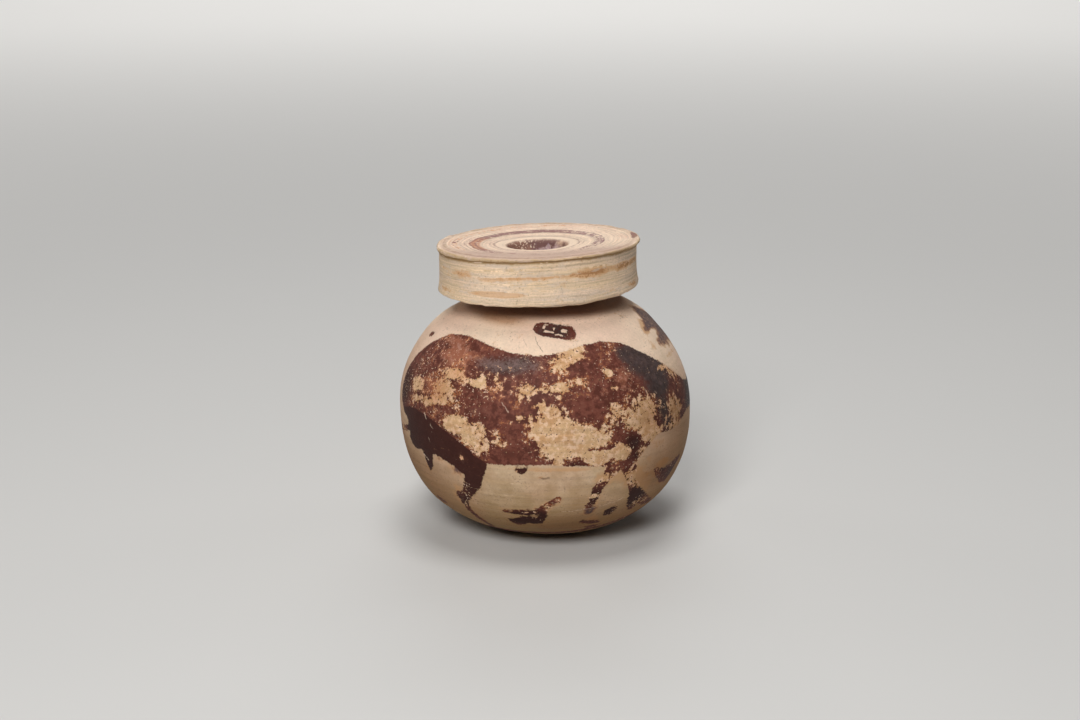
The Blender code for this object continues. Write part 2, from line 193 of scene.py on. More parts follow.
# Soft patches on the ball: (degrees, height share, half-spread in degrees, half-spread in height
# share, strength). A negative strength holds the effect off.
PATCHES = {
    # Where the slip has worn through
    "wear": [
        (-62, 1.09, 6, 0.05, 1.1), (-60.5, 1.00, 3, 0.035, 0.7), (-42, 1.22, 7, 0.045, 1.1),
        (-45, 1.13, 6, 0.04, 1.0), (-46, 1.05, 9, 0.045, 0.9), (-28, 1.20, 4, 0.045, 0.8),
        (-22, 1.235, 4, 0.02, 0.6), (-19, 1.18, 4, 0.06, 0.55), (-8, 1.17, 4, 0.05, 1.1),
        (0, 1.18, 5, 0.03, 0.8), (6, 1.20, 2.5, 0.035, 0.9), (9, 1.19, 2, 0.025, 0.8),
        (14, 1.22, 3, 0.035, 0.8), (14, 1.385, 6, 0.05, 1.2), (7, 1.33, 5, 0.045, 1.1),
        (11, 1.42, 5, 0.03, 0.9), (28, 1.255, 2.5, 0.025, 1.2), (29, 1.165, 2.5, 0.02, 0.9),
        (-2, 1.09, 3, 0.03, 0.8), (6, 1.135, 2.5, 0.018, 0.7), (4, 1.06, 4, 0.02, 0.9),
        (3, 0.93, 11, 0.12, 1.5), (-10, 1.00, 3.5, 0.03, 0.9), (27, 1.03, 4, 0.08, 0.8),
        (-29, 0.89, 9, 0.07, 1.1), (-24, 0.77, 5, 0.06, 0.9), (-17, 0.83, 4, 0.03, 0.6),
        (16, 0.86, 12, 0.09, 1.1), (12, 0.76, 16, 0.06, 1.1), (26, 0.74, 7, 0.05, 0.8),
        (41, 0.98, 8, 0.12, 1.3), (61, 0.93, 6, 0.09, 1.1), (59, 1.20, 4, 0.022, 1.0),
        (44, 1.31, 8, 0.05, -0.8), (50, 1.14, 7, 0.05, -0.6), (-36, 0.945, 5, 0.03, 1.3),
        (-53, 1.01, 5, 0.03, 0.9), (-30, 1.19, 4, 0.025, 0.9), (-42, 0.995, 5, 0.018, -0.9),
        (-39, 0.89, 5, 0.025, 0.7), (-30, 0.82, 4, 0.03, 0.7), (-27, 1.28, 10, 0.03, 0.3),
        (-12, 1.30, 10, 0.03, 0.3), (60, 0.81, 6, 0.03, 0.9), (-77, 1.20, 8, 0.12, -0.9),
        (-20, 1.05, 10, 0.08, -0.4), (5, 1.50, 13, 0.05, -1.2), (-8, 0.245, 9, 0.018, -1.0),
        (4.5, 0.705, 2, 0.02, 1.3), (20, 0.70, 3.5, 0.02, 1.6), (66, 1.15, 5, 0.06, 0.8),
        (43, 0.84, 5, 0.06, 0.9), (33, 0.72, 9, 0.12, 0.9), (46, 0.76, 6, 0.08, 0.9),
        (16, 1.05, 6, 0.08, -1.1), (-10, 0.90, 5, 0.07, -0.9), (-12, 0.75, 9, 0.05, -1.0),
        (10.5, 0.74, 4, 0.025, -1.1), (35, 0.835, 3.5, 0.035, -1.3), (36.5, 0.77, 3.5, 0.035, -1.5),
        (31, 0.66, 3.5, 0.03, -1.6), (36, 0.70, 3, 0.03, -1.3), (28.5, 0.865, 2.8, 0.035, -1.5),
        (23, 0.79, 3.5, 0.022, -1.0), (26, 0.71, 2.5, 0.02, -1.0), (43, 0.77, 1.8, 0.03, -0.9),
        (18, 0.787, 3, 0.018, -1.3), (24.4, 0.795, 3, 0.018, -1.0), (12, 0.69, 4, 0.02, -1.4),
        (-1.5, 0.71, 3.5, 0.012, -1.2), (-16, 0.70, 5, 0.02, -0.6), (52, 0.97, 4, 0.08, -0.15),
        (55, 0.85, 5, 0.04, 0.15), (23.5, 0.58, 4, 0.05, 1.0), (20, 0.45, 4, 0.02, 0.9),
        (-33.5, 0.695, 3.2, 0.029, 7.5), (-35.5, 0.44, 2, 0.04, 0.1), (-38, 0.38, 3, 0.035, -0.5),
        (-29, 0.44, 4, 0.06, -0.8), (37, 0.55, 6, 0.06, 1.1), (41, 0.47, 3, 0.02, 0.8),
        (46, 0.31, 6, 0.035, 0.8), (39.5, 0.37, 4, 0.05, -0.8), (53, 0.55, 5, 0.03, 0.6),
        (64, 0.48, 6, 0.05, -0.5), (-14, 0.335, 6, 0.02, 0.45), (1, 0.38, 5, 0.04, 0.4),
        (-75, 0.73, 6, 0.03, 0.7), (-95, 0.62, 6, 0.06, 0.35), (100, 0.90, 10, 0.12, 0.3),
        (-38, 0.875, 4, 0.025, 0.7), (109, 0.98, 1.6, 0.024, 2.8), (118, 0.70, 4, 0.03, 0.6)],
    # Where it fired black
    "black": [
        (-27, 1.30, 10, 0.06, 0.55), (-11, 1.33, 12, 0.06, 0.75), (-17, 1.29, 10, 0.05, 0.5),
        (42, 1.34, 7, 0.06, 1.1), (49, 1.26, 9, 0.09, 1.4), (57, 1.20, 9, 0.10, 1.1),
        (52, 1.10, 8, 0.05, 1.0), (52, 0.97, 5, 0.09, 1.2), (56, 0.84, 6, 0.06, 1.0),
        (82, 0.95, 10, 0.25, 1.3), (-70, 1.31, 4, 0.02, 0.5), (3, 1.50, 12, 0.06, 0.75),
        (110, 0.90, 14, 0.20, 0.7), (36, 0.80, 5, 0.05, 0.5), (-26, 1.02, 12, 0.05, 0.4)],
    # Where it lies thick and dark brown
    "dark": [
        (-28, 0.57, 7, 0.14, 1.2), (-36, 0.36, 8, 0.10, 0.5), (-74, 1.02, 8, 0.16, 0.7),
        (-62, 1.22, 9, 0.10, 0.15), (-7, 0.28, 12, 0.07, 1.2), (20, 0.45, 8, 0.10, 0.7),
        (46, 0.37, 10, 0.16, 0.35), (41, 0.44, 5, 0.05, 0.7), (40, 0.35, 5, 0.06, 0.8),
        (63, 0.48, 7, 0.07, 0.45), (30, 0.30, 5, 0.05, 1.2), (35, 0.80, 5, 0.07, 0.7),
        (35, 0.69, 6, 0.05, 0.4), (12, 0.69, 6, 0.04, 0.5), (-9, 0.66, 4, 0.03, 1.2),
        (-60, 0.55, 14, 0.20, 1.0), (-95, 0.45, 12, 0.30, 0.8), (5, 1.50, 14, 0.06, 0.5),
        (6, 1.05, 40, 0.30, 0.15), (-12, 0.76, 9, 0.05, 0.3)],
    # Where it fired brightest
    "glow": [
        (-46, 1.32, 9, 0.06, 1.25), (-38, 1.23, 7, 0.05, 0.7), (34, 1.20, 5, 0.07, 0.85),
        (25, 1.13, 5, 0.05, 0.5), (-53, 1.40, 11, 0.03, 0.9), (-51, 1.10, 10, 0.10, 1.0),
        (-42, 0.95, 10, 0.04, 0.35), (-20, 1.17, 6, 0.06, 0.6), (70, 1.42, 6, 0.05, 0.9),
        (84, 1.27, 8, 0.04, 0.8), (-5, 0.33, 14, 0.03, 0.1), (-33, 0.69, 3, 0.03, 1.2),
        (47, 0.95, 8, 0.09, 0.5), (-36, 1.34, 9, 0.05, 0.4)],
    # Where the surface is darkened: mostly painted shade under the disc, low on the body and round
    # its sides, partly dirt
    "toned": [
        (72, 0.50, 26, 0.40, 0.9), (46, 0.56, 13, 0.16, 0.5), (-33, 1.547, 22, 0.030, 1.25),
        (5, 1.62, 60, 0.035, 0.9), (66, 0.95, 14, 0.25, 0.6), (43, 0.95, 9, 0.16, 0.6),
        (-78, 0.50, 26, 0.35, 1.0), (-50, 0.40, 16, 0.20, 0.4), (10, 0.20, 60, 0.14, 0.85),
        (-46, 1.10, 12, 0.14, 0.4), (-85, 1.15, 14, 0.30, 0.5), (170, 0.40, 50, 0.30, 0.7),
        (150, 1.20, 30, 0.20, 0.4)],
    # Where a thin dark wash lies on the clay
    "veil": [
        (-25, 1.31, 10, 0.05, 0.85), (-9, 1.315, 10, 0.045, 0.85), (82, 1.475, 5, 0.035, 1.25),
        (77, 1.435, 6, 0.026, 1.25), (87, 1.44, 8, 0.06, 1.15), (69, 1.42, 5, 0.018, 0.7),
        (73, 1.325, 6, 0.035, 0.70), (82, 1.33, 7, 0.06, 0.58), (71, 1.388, 3, 0.010, -0.7),
        (93, 1.36, 8, 0.09, 0.9), (-35.5, 0.60, 3.5, 0.035, 0.75), (-46, 0.645, 5, 0.02, 0.35),
        (19.5, 0.33, 2.5, 0.04, 1.3), (21, 0.25, 2.5, 0.02, 0.5), (62, 0.47, 6, 0.03, 0.3),
        (-84, 0.66, 6, 0.12, 0.6), (-2, 0.61, 3, 0.008, 0.45), (26, 0.16, 8, 0.02, 0.6),
        (104, 1.30, 8, 0.10, 0.8)],
    # Where the clay is stained tan
    "tanned": [
        (-4.0, 1.51, 2.0, 0.018, 0.8), (70, 1.455, 4, 0.03, 0.8), (67, 1.42, 3.5, 0.028, 1.3),
        (63, 1.33, 3, 0.03, 0.7), (53, 0.60, 4.5, 0.02, 0.9), (50, 0.53, 3, 0.03, 0.6),
        (54, 0.575, 5, 0.022, 1.0), (57, 0.42, 7, 0.03, 0.6), (-38, 0.44, 3, 0.06, 0.8),
        (-40, 0.36, 3, 0.04, 0.6), (-33, 0.30, 3, 0.05, 0.4), (30, 0.60, 8, 0.05, 1.0),
        (37, 0.53, 6, 0.08, 1.0), (23, 0.56, 4, 0.06, 0.9), (43, 0.66, 4, 0.04, 0.4),
        (48, 0.74, 6, 0.04, 0.5), (-40, 0.60, 3, 0.03, 0.5), (45, 0.42, 5, 0.10, 0.6),
        (0, 0.665, 20, 0.016, 0.8), (10, 0.655, 8, 0.012, 0.4), (-53, 0.55, 3, 0.05, 0.6),
        (22, 0.25, 5, 0.03, 0.8), (28, 0.19, 8, 0.03, 0.7), (20, 0.40, 3, 0.05, 0.7),
        (-10, 0.34, 14, 0.03, 0.5), (2, 0.40, 6, 0.03, 0.5), (74, 1.24, 8, 0.02, 0.6)],
}

# Rust-coloured streaks round the disc's wall: (degrees, depth below the rim in millimetres,
# half-length in degrees, half-height in millimetres, strength)
RUST_STREAKS = [
    (33, 4.4, 12, 0.80, 1.3), (57, 4.4, 9, 0.75, 1.1), (72, 4.2, 7, 0.6, 0.8),
    (2, 4.6, 30, 0.40, 0.65), (-48, 4.3, 8, 0.9, 0.8), (-66, 3.9, 8, 0.6, 0.5),
    (-36, 7.9, 6, 0.5, 0.5), (-66, 8.2, 10, 0.5, 0.5), (70, 9.1, 8, 0.6, 0.8),
    (48, 9.0, 6, 0.5, 0.55), (82, 6.5, 8, 2.0, 0.4), (-20, 5.3, 26, 0.4, 0.35),
    (150, 5.0, 20, 0.8, 0.6), (-140, 7.0, 16, 0.7, 0.7)]
# Smooth golden streaks there: the same form
GILT_STREAKS = [
    (-24, 7.8, 17, 0.62, 1.7), (-4, 4.7, 26, 0.6, 0.65), (-30, 5.0, 14, 0.7, 0.55)]
# Bands round the mouth: (inner and outer edge as shares of the disc's radius, softness, (colour,
# strength), wear)
MOUTH_BANDS = [
    (0.330, 0.385, 0.020, ("pale", 0.8), 0.2), (0.400, 0.425, 0.012, ("line", 0.60), 0.42),
    (0.450, 0.465, 0.008, ("line", 0.50), 0.48), (0.565, 0.670, 0.014, ("wash", 0.80), 0.40),
    (0.595, 0.615, 0.006, ("line", 0.60), 0.35), (0.652, 0.670, 0.006, ("line", 0.60), 0.36),
    (0.705, 0.722, 0.008, ("line", 0.50), 0.46), (0.755, 0.772, 0.008, ("line", 0.45), 0.48),
    (0.790, 0.850, 0.012, ("rust", 0.6), 0.57), (0.835, 0.850, 0.008, ("line", 0.4), 0.50),
    (0.905, 0.940, 0.012, ("line", 0.30), 0.50), (0.870, 0.885, 0.008, ("rust", 0.5), 0.52)]
# Dark stains on the disc's top: (degrees, share of the disc's radius, half-spreads of both,
# strength)
RIM_STAINS = [
    (98, 0.955, 7, 0.03, 1.2), (88, 0.93, 5, 0.03, 0.7), (-93, 0.83, 4, 0.022, 0.9),
    (-98, 0.80, 3, 0.02, 0.6), (66, 0.57, 12, 0.05, 0.5), (150, 0.60, 14, 0.04, 0.4),
    (-104, 0.685, 10, 0.025, 0.6), (-70, 0.66, 12, 0.03, 0.5)]

# Hair-thin scratches: (start, end, half-width in millimetres, strength)
SCRATCHES = [
    ((-17.4, 1.105), (-13.6, 1.03), 0.17, 0.55), ((-61, 1.2), (-60, 1.3), 0.10, 0.4),
    ((4, 0.335), (37, 0.40), 0.12, 0.6), ((-15, 0.55), (-9, 0.56), 0.14, 0.4),
    ((62, 0.90), (63, 1.02), 0.12, 0.6), ((-56, 0.64), (-52, 0.60), 0.17, 0.8),
    ((-54, 0.93), (-52, 0.89), 0.20, 0.8), ((-49.8, 0.875), (-48.2, 0.84), 0.17, 0.7),
    ((-51, 0.78), (-50.2, 0.74), 0.15, 0.6), ((-64, 1.375), (-60, 1.40), 0.16, 0.6),
    ((-18, 0.46), (-12, 0.47), 0.16, 0.35)]
# Dark hair lines on the shoulder: the same form
HAIR_LINES = [
    ((-6.2, 1.48), (-1.5, 1.39), 0.12, 0.5), ((-12, 1.465), (-9, 1.415), 0.11, 0.3),
    ((-2, 0.607), (2, 0.602), 0.30, 0.5)]

# Facets broken out of the disc's edges: (degrees, depth below the rim in millimetres, tilt of the
# break upwards in degrees, bite in millimetres)
DISC_CHIPS = [
    (-128, 0.0, 66, 0.55), (-12, 10.9, -75, 0.90), (-39, 10.9, -68, 0.50), (-66, 10.9, -85, 1.05),
    (16, 0.2, 55, 0.12), (75, 10.9, -60, 0.60), (150, 0.2, 40, 0.3), (-165, 10.9, -40, 0.4),
    (120, 10.9, -30, 0.3)]
# Slow dents and swellings of the ball: (degrees, height share, half-spreads of both, millimetres)
BALL_SWELLS = [
    (-80, 0.22, 50, 0.12, 0.35), (88, 1.22, 40, 0.18, -0.22), (-90, 1.55, 45, 0.085, -1.08),
    (90, 1.45, 40, 0.06, 0.2), (90, 1.60, 40, 0.055, -0.45), (160, 0.6, 50, 0.3, -0.25),
    (-150, 1.0, 40, 0.3, 0.2)]
# How much the ball leans to the right, up to the height where the lean stops
BALL_LEAN = 0.014
LEAN_TOP = 45.0 * MM

# The disc: thicker at the left, thinned below, set a little to the left at its lower edge
DISC_WEDGE = 0.0155
DISC_THINNING = 0.25 * MM
DISC_OFFSET = 0.15 * MM
# Its lip: raised at its lower edge where it is thinnest, and shifted to the right
LIP_THINNING = 0.95 * MM
LIP_THINNEST = 25
LIP_THINNING_SPREAD = 80
LIP_THINNING_FADE = 5.0 * MM
LIP_SHIFT = 0.28 * MM
LIP_SHIFT_DEPTH = 2.6 * MM
# Its ragged edges, in millimetres, and the stretch of the lower edge that is torn
RAGGEDNESS = 0.11
TORN_RAGGEDNESS = 0.22
BREAK_RAGGEDNESS = 0.12
COARSE_SEED = 5.0
FINE_SEED = 9.0
TORN_MIDDLE = -38
TORN_SPREAD = 45
TORN_EDGE = (8.6 * MM, 10.4 * MM)

# Attribute values where a pattern isn't: millimetres outside any paint, share of the disc's
# radius off its top, and depth below its rim off its wall
UNPAINTED = -9.0
OFF_THE_TOP = 2.0
OFF_THE_WALL = 99.0

# The camera, with its lens and sensor in millimetres
CAMERA_PLACE = Vector((-1.10 * MM, -448.0 * MM, 158.6 * MM))
CAMERA_TURN = Euler((math.radians(74.72), 0.0, 0.0))
CAMERA_LENS = 70.43
CAMERA_SENSOR = 36.0
CAMERA_NEAR = 0.01
# Half the floor's width, in metres
FLOOR_HALF = 40.0
# Soft square lights: (name, place, width, the property that holds its power)
LIGHTS = [
    ("key light", (-0.17, -0.68, 0.57), 0.32, "key_power"),
    ("top light", (0.02, 0.02, 0.85), 0.35, "top_power"),
    ("far light", (0.0, 1.55, 1.1), 1.2, "far_power"),
    ("left light", (-0.60, 0.35, 0.25), 0.20, "rim_power"),
    ("right light", (0.60, 0.35, 0.25), 0.20, "rim_power")]
# The far light faces this place on the floor; the others face the flask
FAR_AIM = Vector((0.0, 1.75, 0.0))
SKY_COLOUR = (0.95, 0.96, 1.0, 1.0)


def length(name, description, default):
    """A length that a user can change."""
    return FloatProperty(name=name, description=description, default=default, unit="LENGTH")


def power(name, description, default):
    """The power of a light that a user can change."""
    return FloatProperty(name=name, description=description, default=default, unit="POWER")


def colour(name, description, default):
    """A colour that a user can change."""
    return FloatVectorProperty(
        name=name, description=description, default=default, subtype="COLOR", size=3)


class AryballosSizes(bpy.types.PropertyGroup):
    """Sizes of the flask that don't come from its frame"""

    columns: IntProperty(
        name="Columns", description="Steps round the flask", default=312, min=24)
    crowding: FloatProperty(
        name="Front Crowding", description="How much closer the columns stand at the front",
        default=0.36, min=0.0, max=0.9)
    handle_width: length("Handle Width", "Width of the strap handle", 17.0 * MM)
    handle_thickness: length("Handle Thickness", "Thickness of the strap handle", 3.8 * MM)
    ripple: length(
        "Throwing Ripple", "Height of the ripples that the potter's fingers left", 0.10 * MM)
    wobble: length("Wobble", "Span within which the wall strays from true", 0.45 * MM)


class AryballosColours(bpy.types.PropertyGroup):
    """Colours of the clay, of the slips, of the dirt and of the painted shade"""

    clay: colour("Clay", "Pale outer clay", (0.745, 0.575, 0.43))
    clay_pink: colour("Pink Clay", "Clay where it fired pinker", (0.74, 0.54, 0.41))
    clay_yellow: colour("Yellow Clay", "Yellower clay of the disc's wall", (0.66, 0.49, 0.315))
    clay_white: colour("White Clay", "Palest clay, on the mouth", (0.80, 0.63, 0.48))
    wall_grey: colour("Grey Clay", "Greyer clay of the disc's wall", (0.62, 0.50, 0.40))
    bare: colour("Bare Clay", "Clay laid bare where slip has flaked", (0.53, 0.30, 0.145))
    bare_pale: colour("Pale Bare Clay", "Cleaner clay laid bare", (0.58, 0.37, 0.20))
    speck: colour("Specks", "Fresh nicks and scratches", (0.75, 0.56, 0.42))
    red: colour("Red Slip", "Slip that fired red-brown", (0.125, 0.035, 0.022))
    red_pale: colour("Pale Red Slip", "Red slip where it lies thinner", (0.20, 0.068, 0.047))
    glow: colour("Bright Slip", "Slip that fired brightest", (0.31, 0.112, 0.062))
    dark: colour("Dark Slip", "Thick slip, dark brown", (0.036, 0.0098, 0.0068))
    black: colour("Black Slip", "Slip that fired black", (0.056, 0.039, 0.034))
    black_blue: colour(
        "Blue-Black Slip", "Black slip where it lies thickest", (0.044, 0.034, 0.034))
    haze: colour("Haze", "Greyish bloom on the black slip", (0.17, 0.105, 0.092))
    rust: colour("Rust", "Thin slip, orange where it has rubbed", (0.55, 0.20, 0.065))
    rust_brown: colour(
        "Rust Brown", "The darkest crumbs in the disc's streaks", (0.33, 0.145, 0.05))
    golden: colour("Golden Clay", "Thin slip rubbed to gold on the disc's wall", (0.60, 0.32, 0.14))
    blush: colour("Blush", "Pink worn slip towards the front of the mouth", (0.42, 0.27, 0.225))
    veil: colour("Wash", "Thin dark wash on the clay", (0.085, 0.058, 0.065))
    veil_brown: colour("Brown Wash", "The same wash where it fired browner", (0.22, 0.105, 0.070))
    purple: colour("Purple", "Thin purple wash of the bands on the mouth", (0.22, 0.10, 0.10))
    lilac: colour("Lilac", "Chalky bloom in the mouth's funnel", (0.48, 0.34, 0.37))
    funnel: colour("Funnel", "Brown slip worn thin in the mouth's funnel", (0.30, 0.145, 0.095))
    funnel_dark: colour(
        "Funnel Middle", "Darkest slip in the mouth's funnel", (0.150, 0.065, 0.062))
    funnel_tan: colour("Funnel Right", "Thin tan slip in the mouth's funnel", (0.46, 0.28, 0.19))
    # Tan of the lower body, and painted shade that darkens it towards the bottom
    lower_tan_and_shade: colour("Handling", "Tint of the lower body, toned by handling", (0.46, 0.37, 0.20))
    # Tint of the darkened patches: mostly painted shade, partly dirt
    toned: colour("Toning", "Tint of the clay where dirt has toned it", (0.56, 0.45, 0.36))
    # Painted shadow: the dark tint on the neck and shoulder under the disc's overhang
    under_disc_shadow: colour("Neck Dirt", "Tint of the dirt held under the disc", (0.22, 0.15, 0.13))
    # Ochre also darkens the groove under the lip, partly as dirt and partly as painted shade
    ochre: colour("Ochre", "Dirt held under the lip", (0.30, 0.18, 0.07))
    ochre_pale: colour("Pale Ochre", "Dirt rubbed into the lip", (0.50, 0.35, 0.19))


class AryballosStage(bpy.types.PropertyGroup):
    """The floor, the lights and the camera"""

    key_power: power("Key Power", "Power of the soft light in front and above", 6.2)
    top_power: power("Top Power", "Power of the soft light straight above", 3.0)
    far_power: power("Far Power", "Power of the soft light over the floor behind", 14.0)
    rim_power: power("Rim Power", "Power of each side light", 0.35)
    far_glow: FloatProperty(
        name="Far Glow", description="How brightly the floor glows far from the flask",
        default=0.6, min=0.0)
    sky: FloatProperty(
        name="Sky", description="Strength of the even light all round", default=0.05, min=0.0)
    floor_colour: colour("Floor", "Colour of the floor", (0.56, 0.55, 0.53))


class Wire:
    """One output socket of a node, with Python's operators for maths on values."""

    def __init__(self, bench, socket):
        self.bench = bench
        self.socket = socket

    def maths(self, operation, *others, clamp=False):
        return self.bench.node("ShaderNodeMath", {"operation": operation, "use_clamp": clamp},
                               dict(enumerate([self, *others])))

    def __add__(self, other):
        return self.maths("ADD", other)

    def __sub__(self, other):
        return self.maths("SUBTRACT", other)

    def __mul__(self, other):
        return self.maths("MULTIPLY", other)

    def __truediv__(self, other):
        return self.maths("DIVIDE", other)

    def __rsub__(self, other):
        return (self * -1) + other

    __radd__ = __add__
    __rmul__ = __mul__

    def minimum(self, other):
        return self.maths("MINIMUM", other)

    def maximum(self, other):
        return self.maths("MAXIMUM", other)

    def clamped(self):
        return self.maths("ADD", 0.0, clamp=True)

    @functools.cached_property
    def swing(self):
        """A noise about 0 instead of about 0.5."""
        return self - 0.5

    def ramp_up(self, low, high):
        """0 below low, 1 above high and smooth between. Falls instead where low is above high."""
        if low > high:
            return 1 - self.ramp_up(high, low)
        return self.bench.node("ShaderNodeMapRange", {"interpolation_type": "SMOOTHSTEP"},
                               {"Value": self, "From Min": low, "From Max": high})


def opaque(shade):
    """A plain colour with its alpha; a wire as it is."""
    return shade if isinstance(shade, Wire) else (*shade, 1.0)


class Bench:
    """Adds nodes to one tree."""

    def __init__(self, tree):
        self.tree = tree

    def node(self, kind, settings=None, inputs=None, output=0):
        """A node with its settings, then the values or wires of its inputs. Returns one output."""
        made = self.tree.nodes.new(kind)
        for name, value in (settings or {}).items():
            setattr(made, name, value)
        for name, value in (inputs or {}).items():
            if isinstance(value, Wire):
                self.tree.links.new(value.socket, made.inputs[name])
            else:
                made.inputs[name].default_value = value
        return Wire(self, made.outputs[output]) if made.outputs else made

    def vector_maths(self, operation, *vectors, output="Vector", **others):
        return self.node("ShaderNodeVectorMath", {"operation": operation},
                         {**dict(enumerate(vectors)), **others}, output)

    def combine(self, x, y, z):
        return self.node("ShaderNodeCombineXYZ", None, {"X": x, "Y": y, "Z": z})

    def separate(self, vector):
        return [self.node("ShaderNodeSeparateXYZ", None, {"Vector": vector}, output=axis)
                for axis in range(3)]

    def attribute(self, name):
        return self.node("ShaderNodeAttribute", {"attribute_name": name}, output="Fac")

    def noise(self, vector, scale, detail=2.0, roughness=0.5, distortion=0.0):
        """Cloudy noise round 0.5. Scale counts its features along one unit of the vector."""
        return self.node("ShaderNodeTexNoise", {"noise_dimensions": "3D"},
                         {"Vector": vector, "Scale": scale, "Detail": detail,
                          "Roughness": roughness, "Distortion": distortion})

    def mix(self, share, first, second, blend="MIX"):
        """The second colour over the first, where the share is 1."""
        return self.node("ShaderNodeMix",
                         {"data_type": "RGBA", "blend_type": blend, "clamp_factor": True},
                         {0: share, 6: opaque(first), 7: opaque(second)}, output=2)


class Coat:
    """A colour built up in layers."""

    def __init__(self, bench, first):
        self.bench = bench
        self.colour = first

    def lay(self, share, other, blend="MIX"):
        """Another colour over it, where the share is 1."""
        self.colour = self.bench.mix(share, self.colour, other, blend)

    def tint(self, share, other):
        """Multiplies it by another colour, where the share is 1."""
        self.lay(share, other, "MULTIPLY")

    def shade(self, factor):
        """Multiplies it by one factor, so that it is lighter or darker."""
        self.tint(1.0, self.bench.combine(factor, factor, factor))


def new_object(name, data):
    """An object in the scene."""
    made = bpy.data.objects.new(name, data)
    bpy.context.scene.collection.objects.link(made)
    return made


def emptied_tree(owner):
    """The node tree of a material or a world, with nothing in it."""
    owner.use_nodes = True
    owner.node_tree.nodes.clear()
    return owner.node_tree


def plain_mesh(piece):
    """The mesh of an object with its modifiers applied."""
    graph = bpy.context.evaluated_depsgraph_get()
    return bpy.data.meshes.new_from_object(
        piece.evaluated_get(graph), preserve_all_data_layers=True, depsgraph=graph)


def curve_points(start, start_handle, end_handle, end, steps):
    """Points along one Bezier span in the (radius, height) plane, without its start."""
    knots = [Vector((radius, height)) for radius, height in (start, start_handle, end_handle, end)]
    return [tuple(point) for point in interpolate_bezier(*knots, steps + 1)][1:]


def ball_lower(radius, depth, steps, cut):
    """The lower half from the flat cut up to the widest ring, as (radius, height)."""
    power_of_sine = 2.0 / LOWER_FULLNESS
    first = math.asin(cut ** (1.0 / power_of_sine))
    angles = [first * (1.0 - step / steps) for step in range(steps + 1)]
    return [(radius * math.cos(angle) ** power_of_sine,
             BELLY_HEIGHT - depth * math.sin(angle) ** power_of_sine) for angle in angles]


def ball_upper(radius, rise, steps, top_radius):
    """The upper half from just above the widest ring in to top_radius, as (radius, height)."""
    last = math.acos(top_radius / radius)
    angles = [last * step / steps for step in range(1, steps + 1)]
    return [(radius * math.cos(angle), BELLY_HEIGHT + rise * math.sin(angle)) for angle in angles]


def path(start, *spans):
    """Points through Bezier spans of (start handle, end handle, end, steps), without the start."""
    points = [start]
    for start_handle, end_handle, end, steps in spans:
        points += curve_points(points[-1], start_handle, end_handle, end, steps)
    return points[1:]


def upright(points):
    """Rings in the ball's upright frame."""
    return [(radius, height, 0.0) for radius, height in points]


def leaning_in(points):
    """Rings that go over, one by one, from the ball's upright frame to the disc's."""
    return [(radius, height, step / len(points)) for step, (radius, height) in enumerate(points, 1)]


def on_disc(points):
    """Rings of the disc, from (radius, depth below the rim)."""
    return [(radius, DISC_CENTRE.z - depth, 1.0) for radius, depth in points]


def outside_rings():
    """The outside from the middle of the foot to the funnel: (radius, height, disc's share)."""
    ball = ball_lower(BALL_RADIUS, LOWER_DEPTH, LOWER_STEPS, BELLY_HEIGHT / LOWER_DEPTH)
    ball += ball_upper(BALL_RADIUS, UPPER_RISE, UPPER_STEPS, SHOULDER_RADIUS)
    foot_edge = ball[0][0]
    foot = [(foot_edge * step / FOOT_STEPS, 0.0) for step in range(FOOT_STEPS)]

    shoulder = ball[-1]
    slope = UPPER_RISE / BALL_RADIUS * SHOULDER_RADIUS
    slope /= math.sqrt(BALL_RADIUS ** 2 - SHOULDER_RADIUS ** 2)
    neck = path(shoulder, (
        (shoulder[0] - NECK_FILLET, shoulder[1] + slope * NECK_FILLET),
        (NECK_RADIUS, NECK_HEIGHT - 1.0 * MM), (NECK_RADIUS, NECK_HEIGHT), 9))

    neck_top = DISC_CENTRE.z - NECK_HEIGHT
    waist = DISC_RADIUS - WAIST_DEPTH
    disc = path(
        (NECK_RADIUS, neck_top),
        # The underside and its rounded edge
        ((NECK_RADIUS, neck_top - 0.8 * MM), (NECK_RADIUS + 2 * MM, neck_top - 0.6 * MM),
         (DISC_RADIUS - 1.6 * MM, DISC_THICKNESS), 12),
        ((DISC_RADIUS - 0.7 * MM, DISC_THICKNESS), (BULGE_RADIUS, DISC_THICKNESS - 0.4 * MM),
         (BULGE_RADIUS, DISC_THICKNESS - 1.2 * MM), 8),
        # The wall, up to the groove under the lip
        ((waist - 0.1 * MM, DISC_THICKNESS - 3.5 * MM), (waist, DISC_THICKNESS / 2),
         (waist, LIP_HEIGHT + 0.35 * MM), 22),
        ((waist - 0.12 * MM, LIP_HEIGHT), (DISC_RADIUS, LIP_HEIGHT * 0.9),
         (DISC_RADIUS, LIP_HEIGHT * 0.45), 8),
        # Over the lip and down the dished top to the funnel
        ((DISC_RADIUS, LIP_HEIGHT * 0.2), (DISC_RADIUS - LIP_EDGE * 0.4, 0.0),
         (DISC_RADIUS - 2 * LIP_EDGE, 0.0), 7),
        ((0.8 * DISC_RADIUS, 0.0), (0.55 * DISC_RADIUS, DISH_DEPTH),
         (FUNNEL_RADIUS, DISH_DEPTH), 34))
    return upright(foot + ball) + leaning_in(neck) + on_disc(disc)


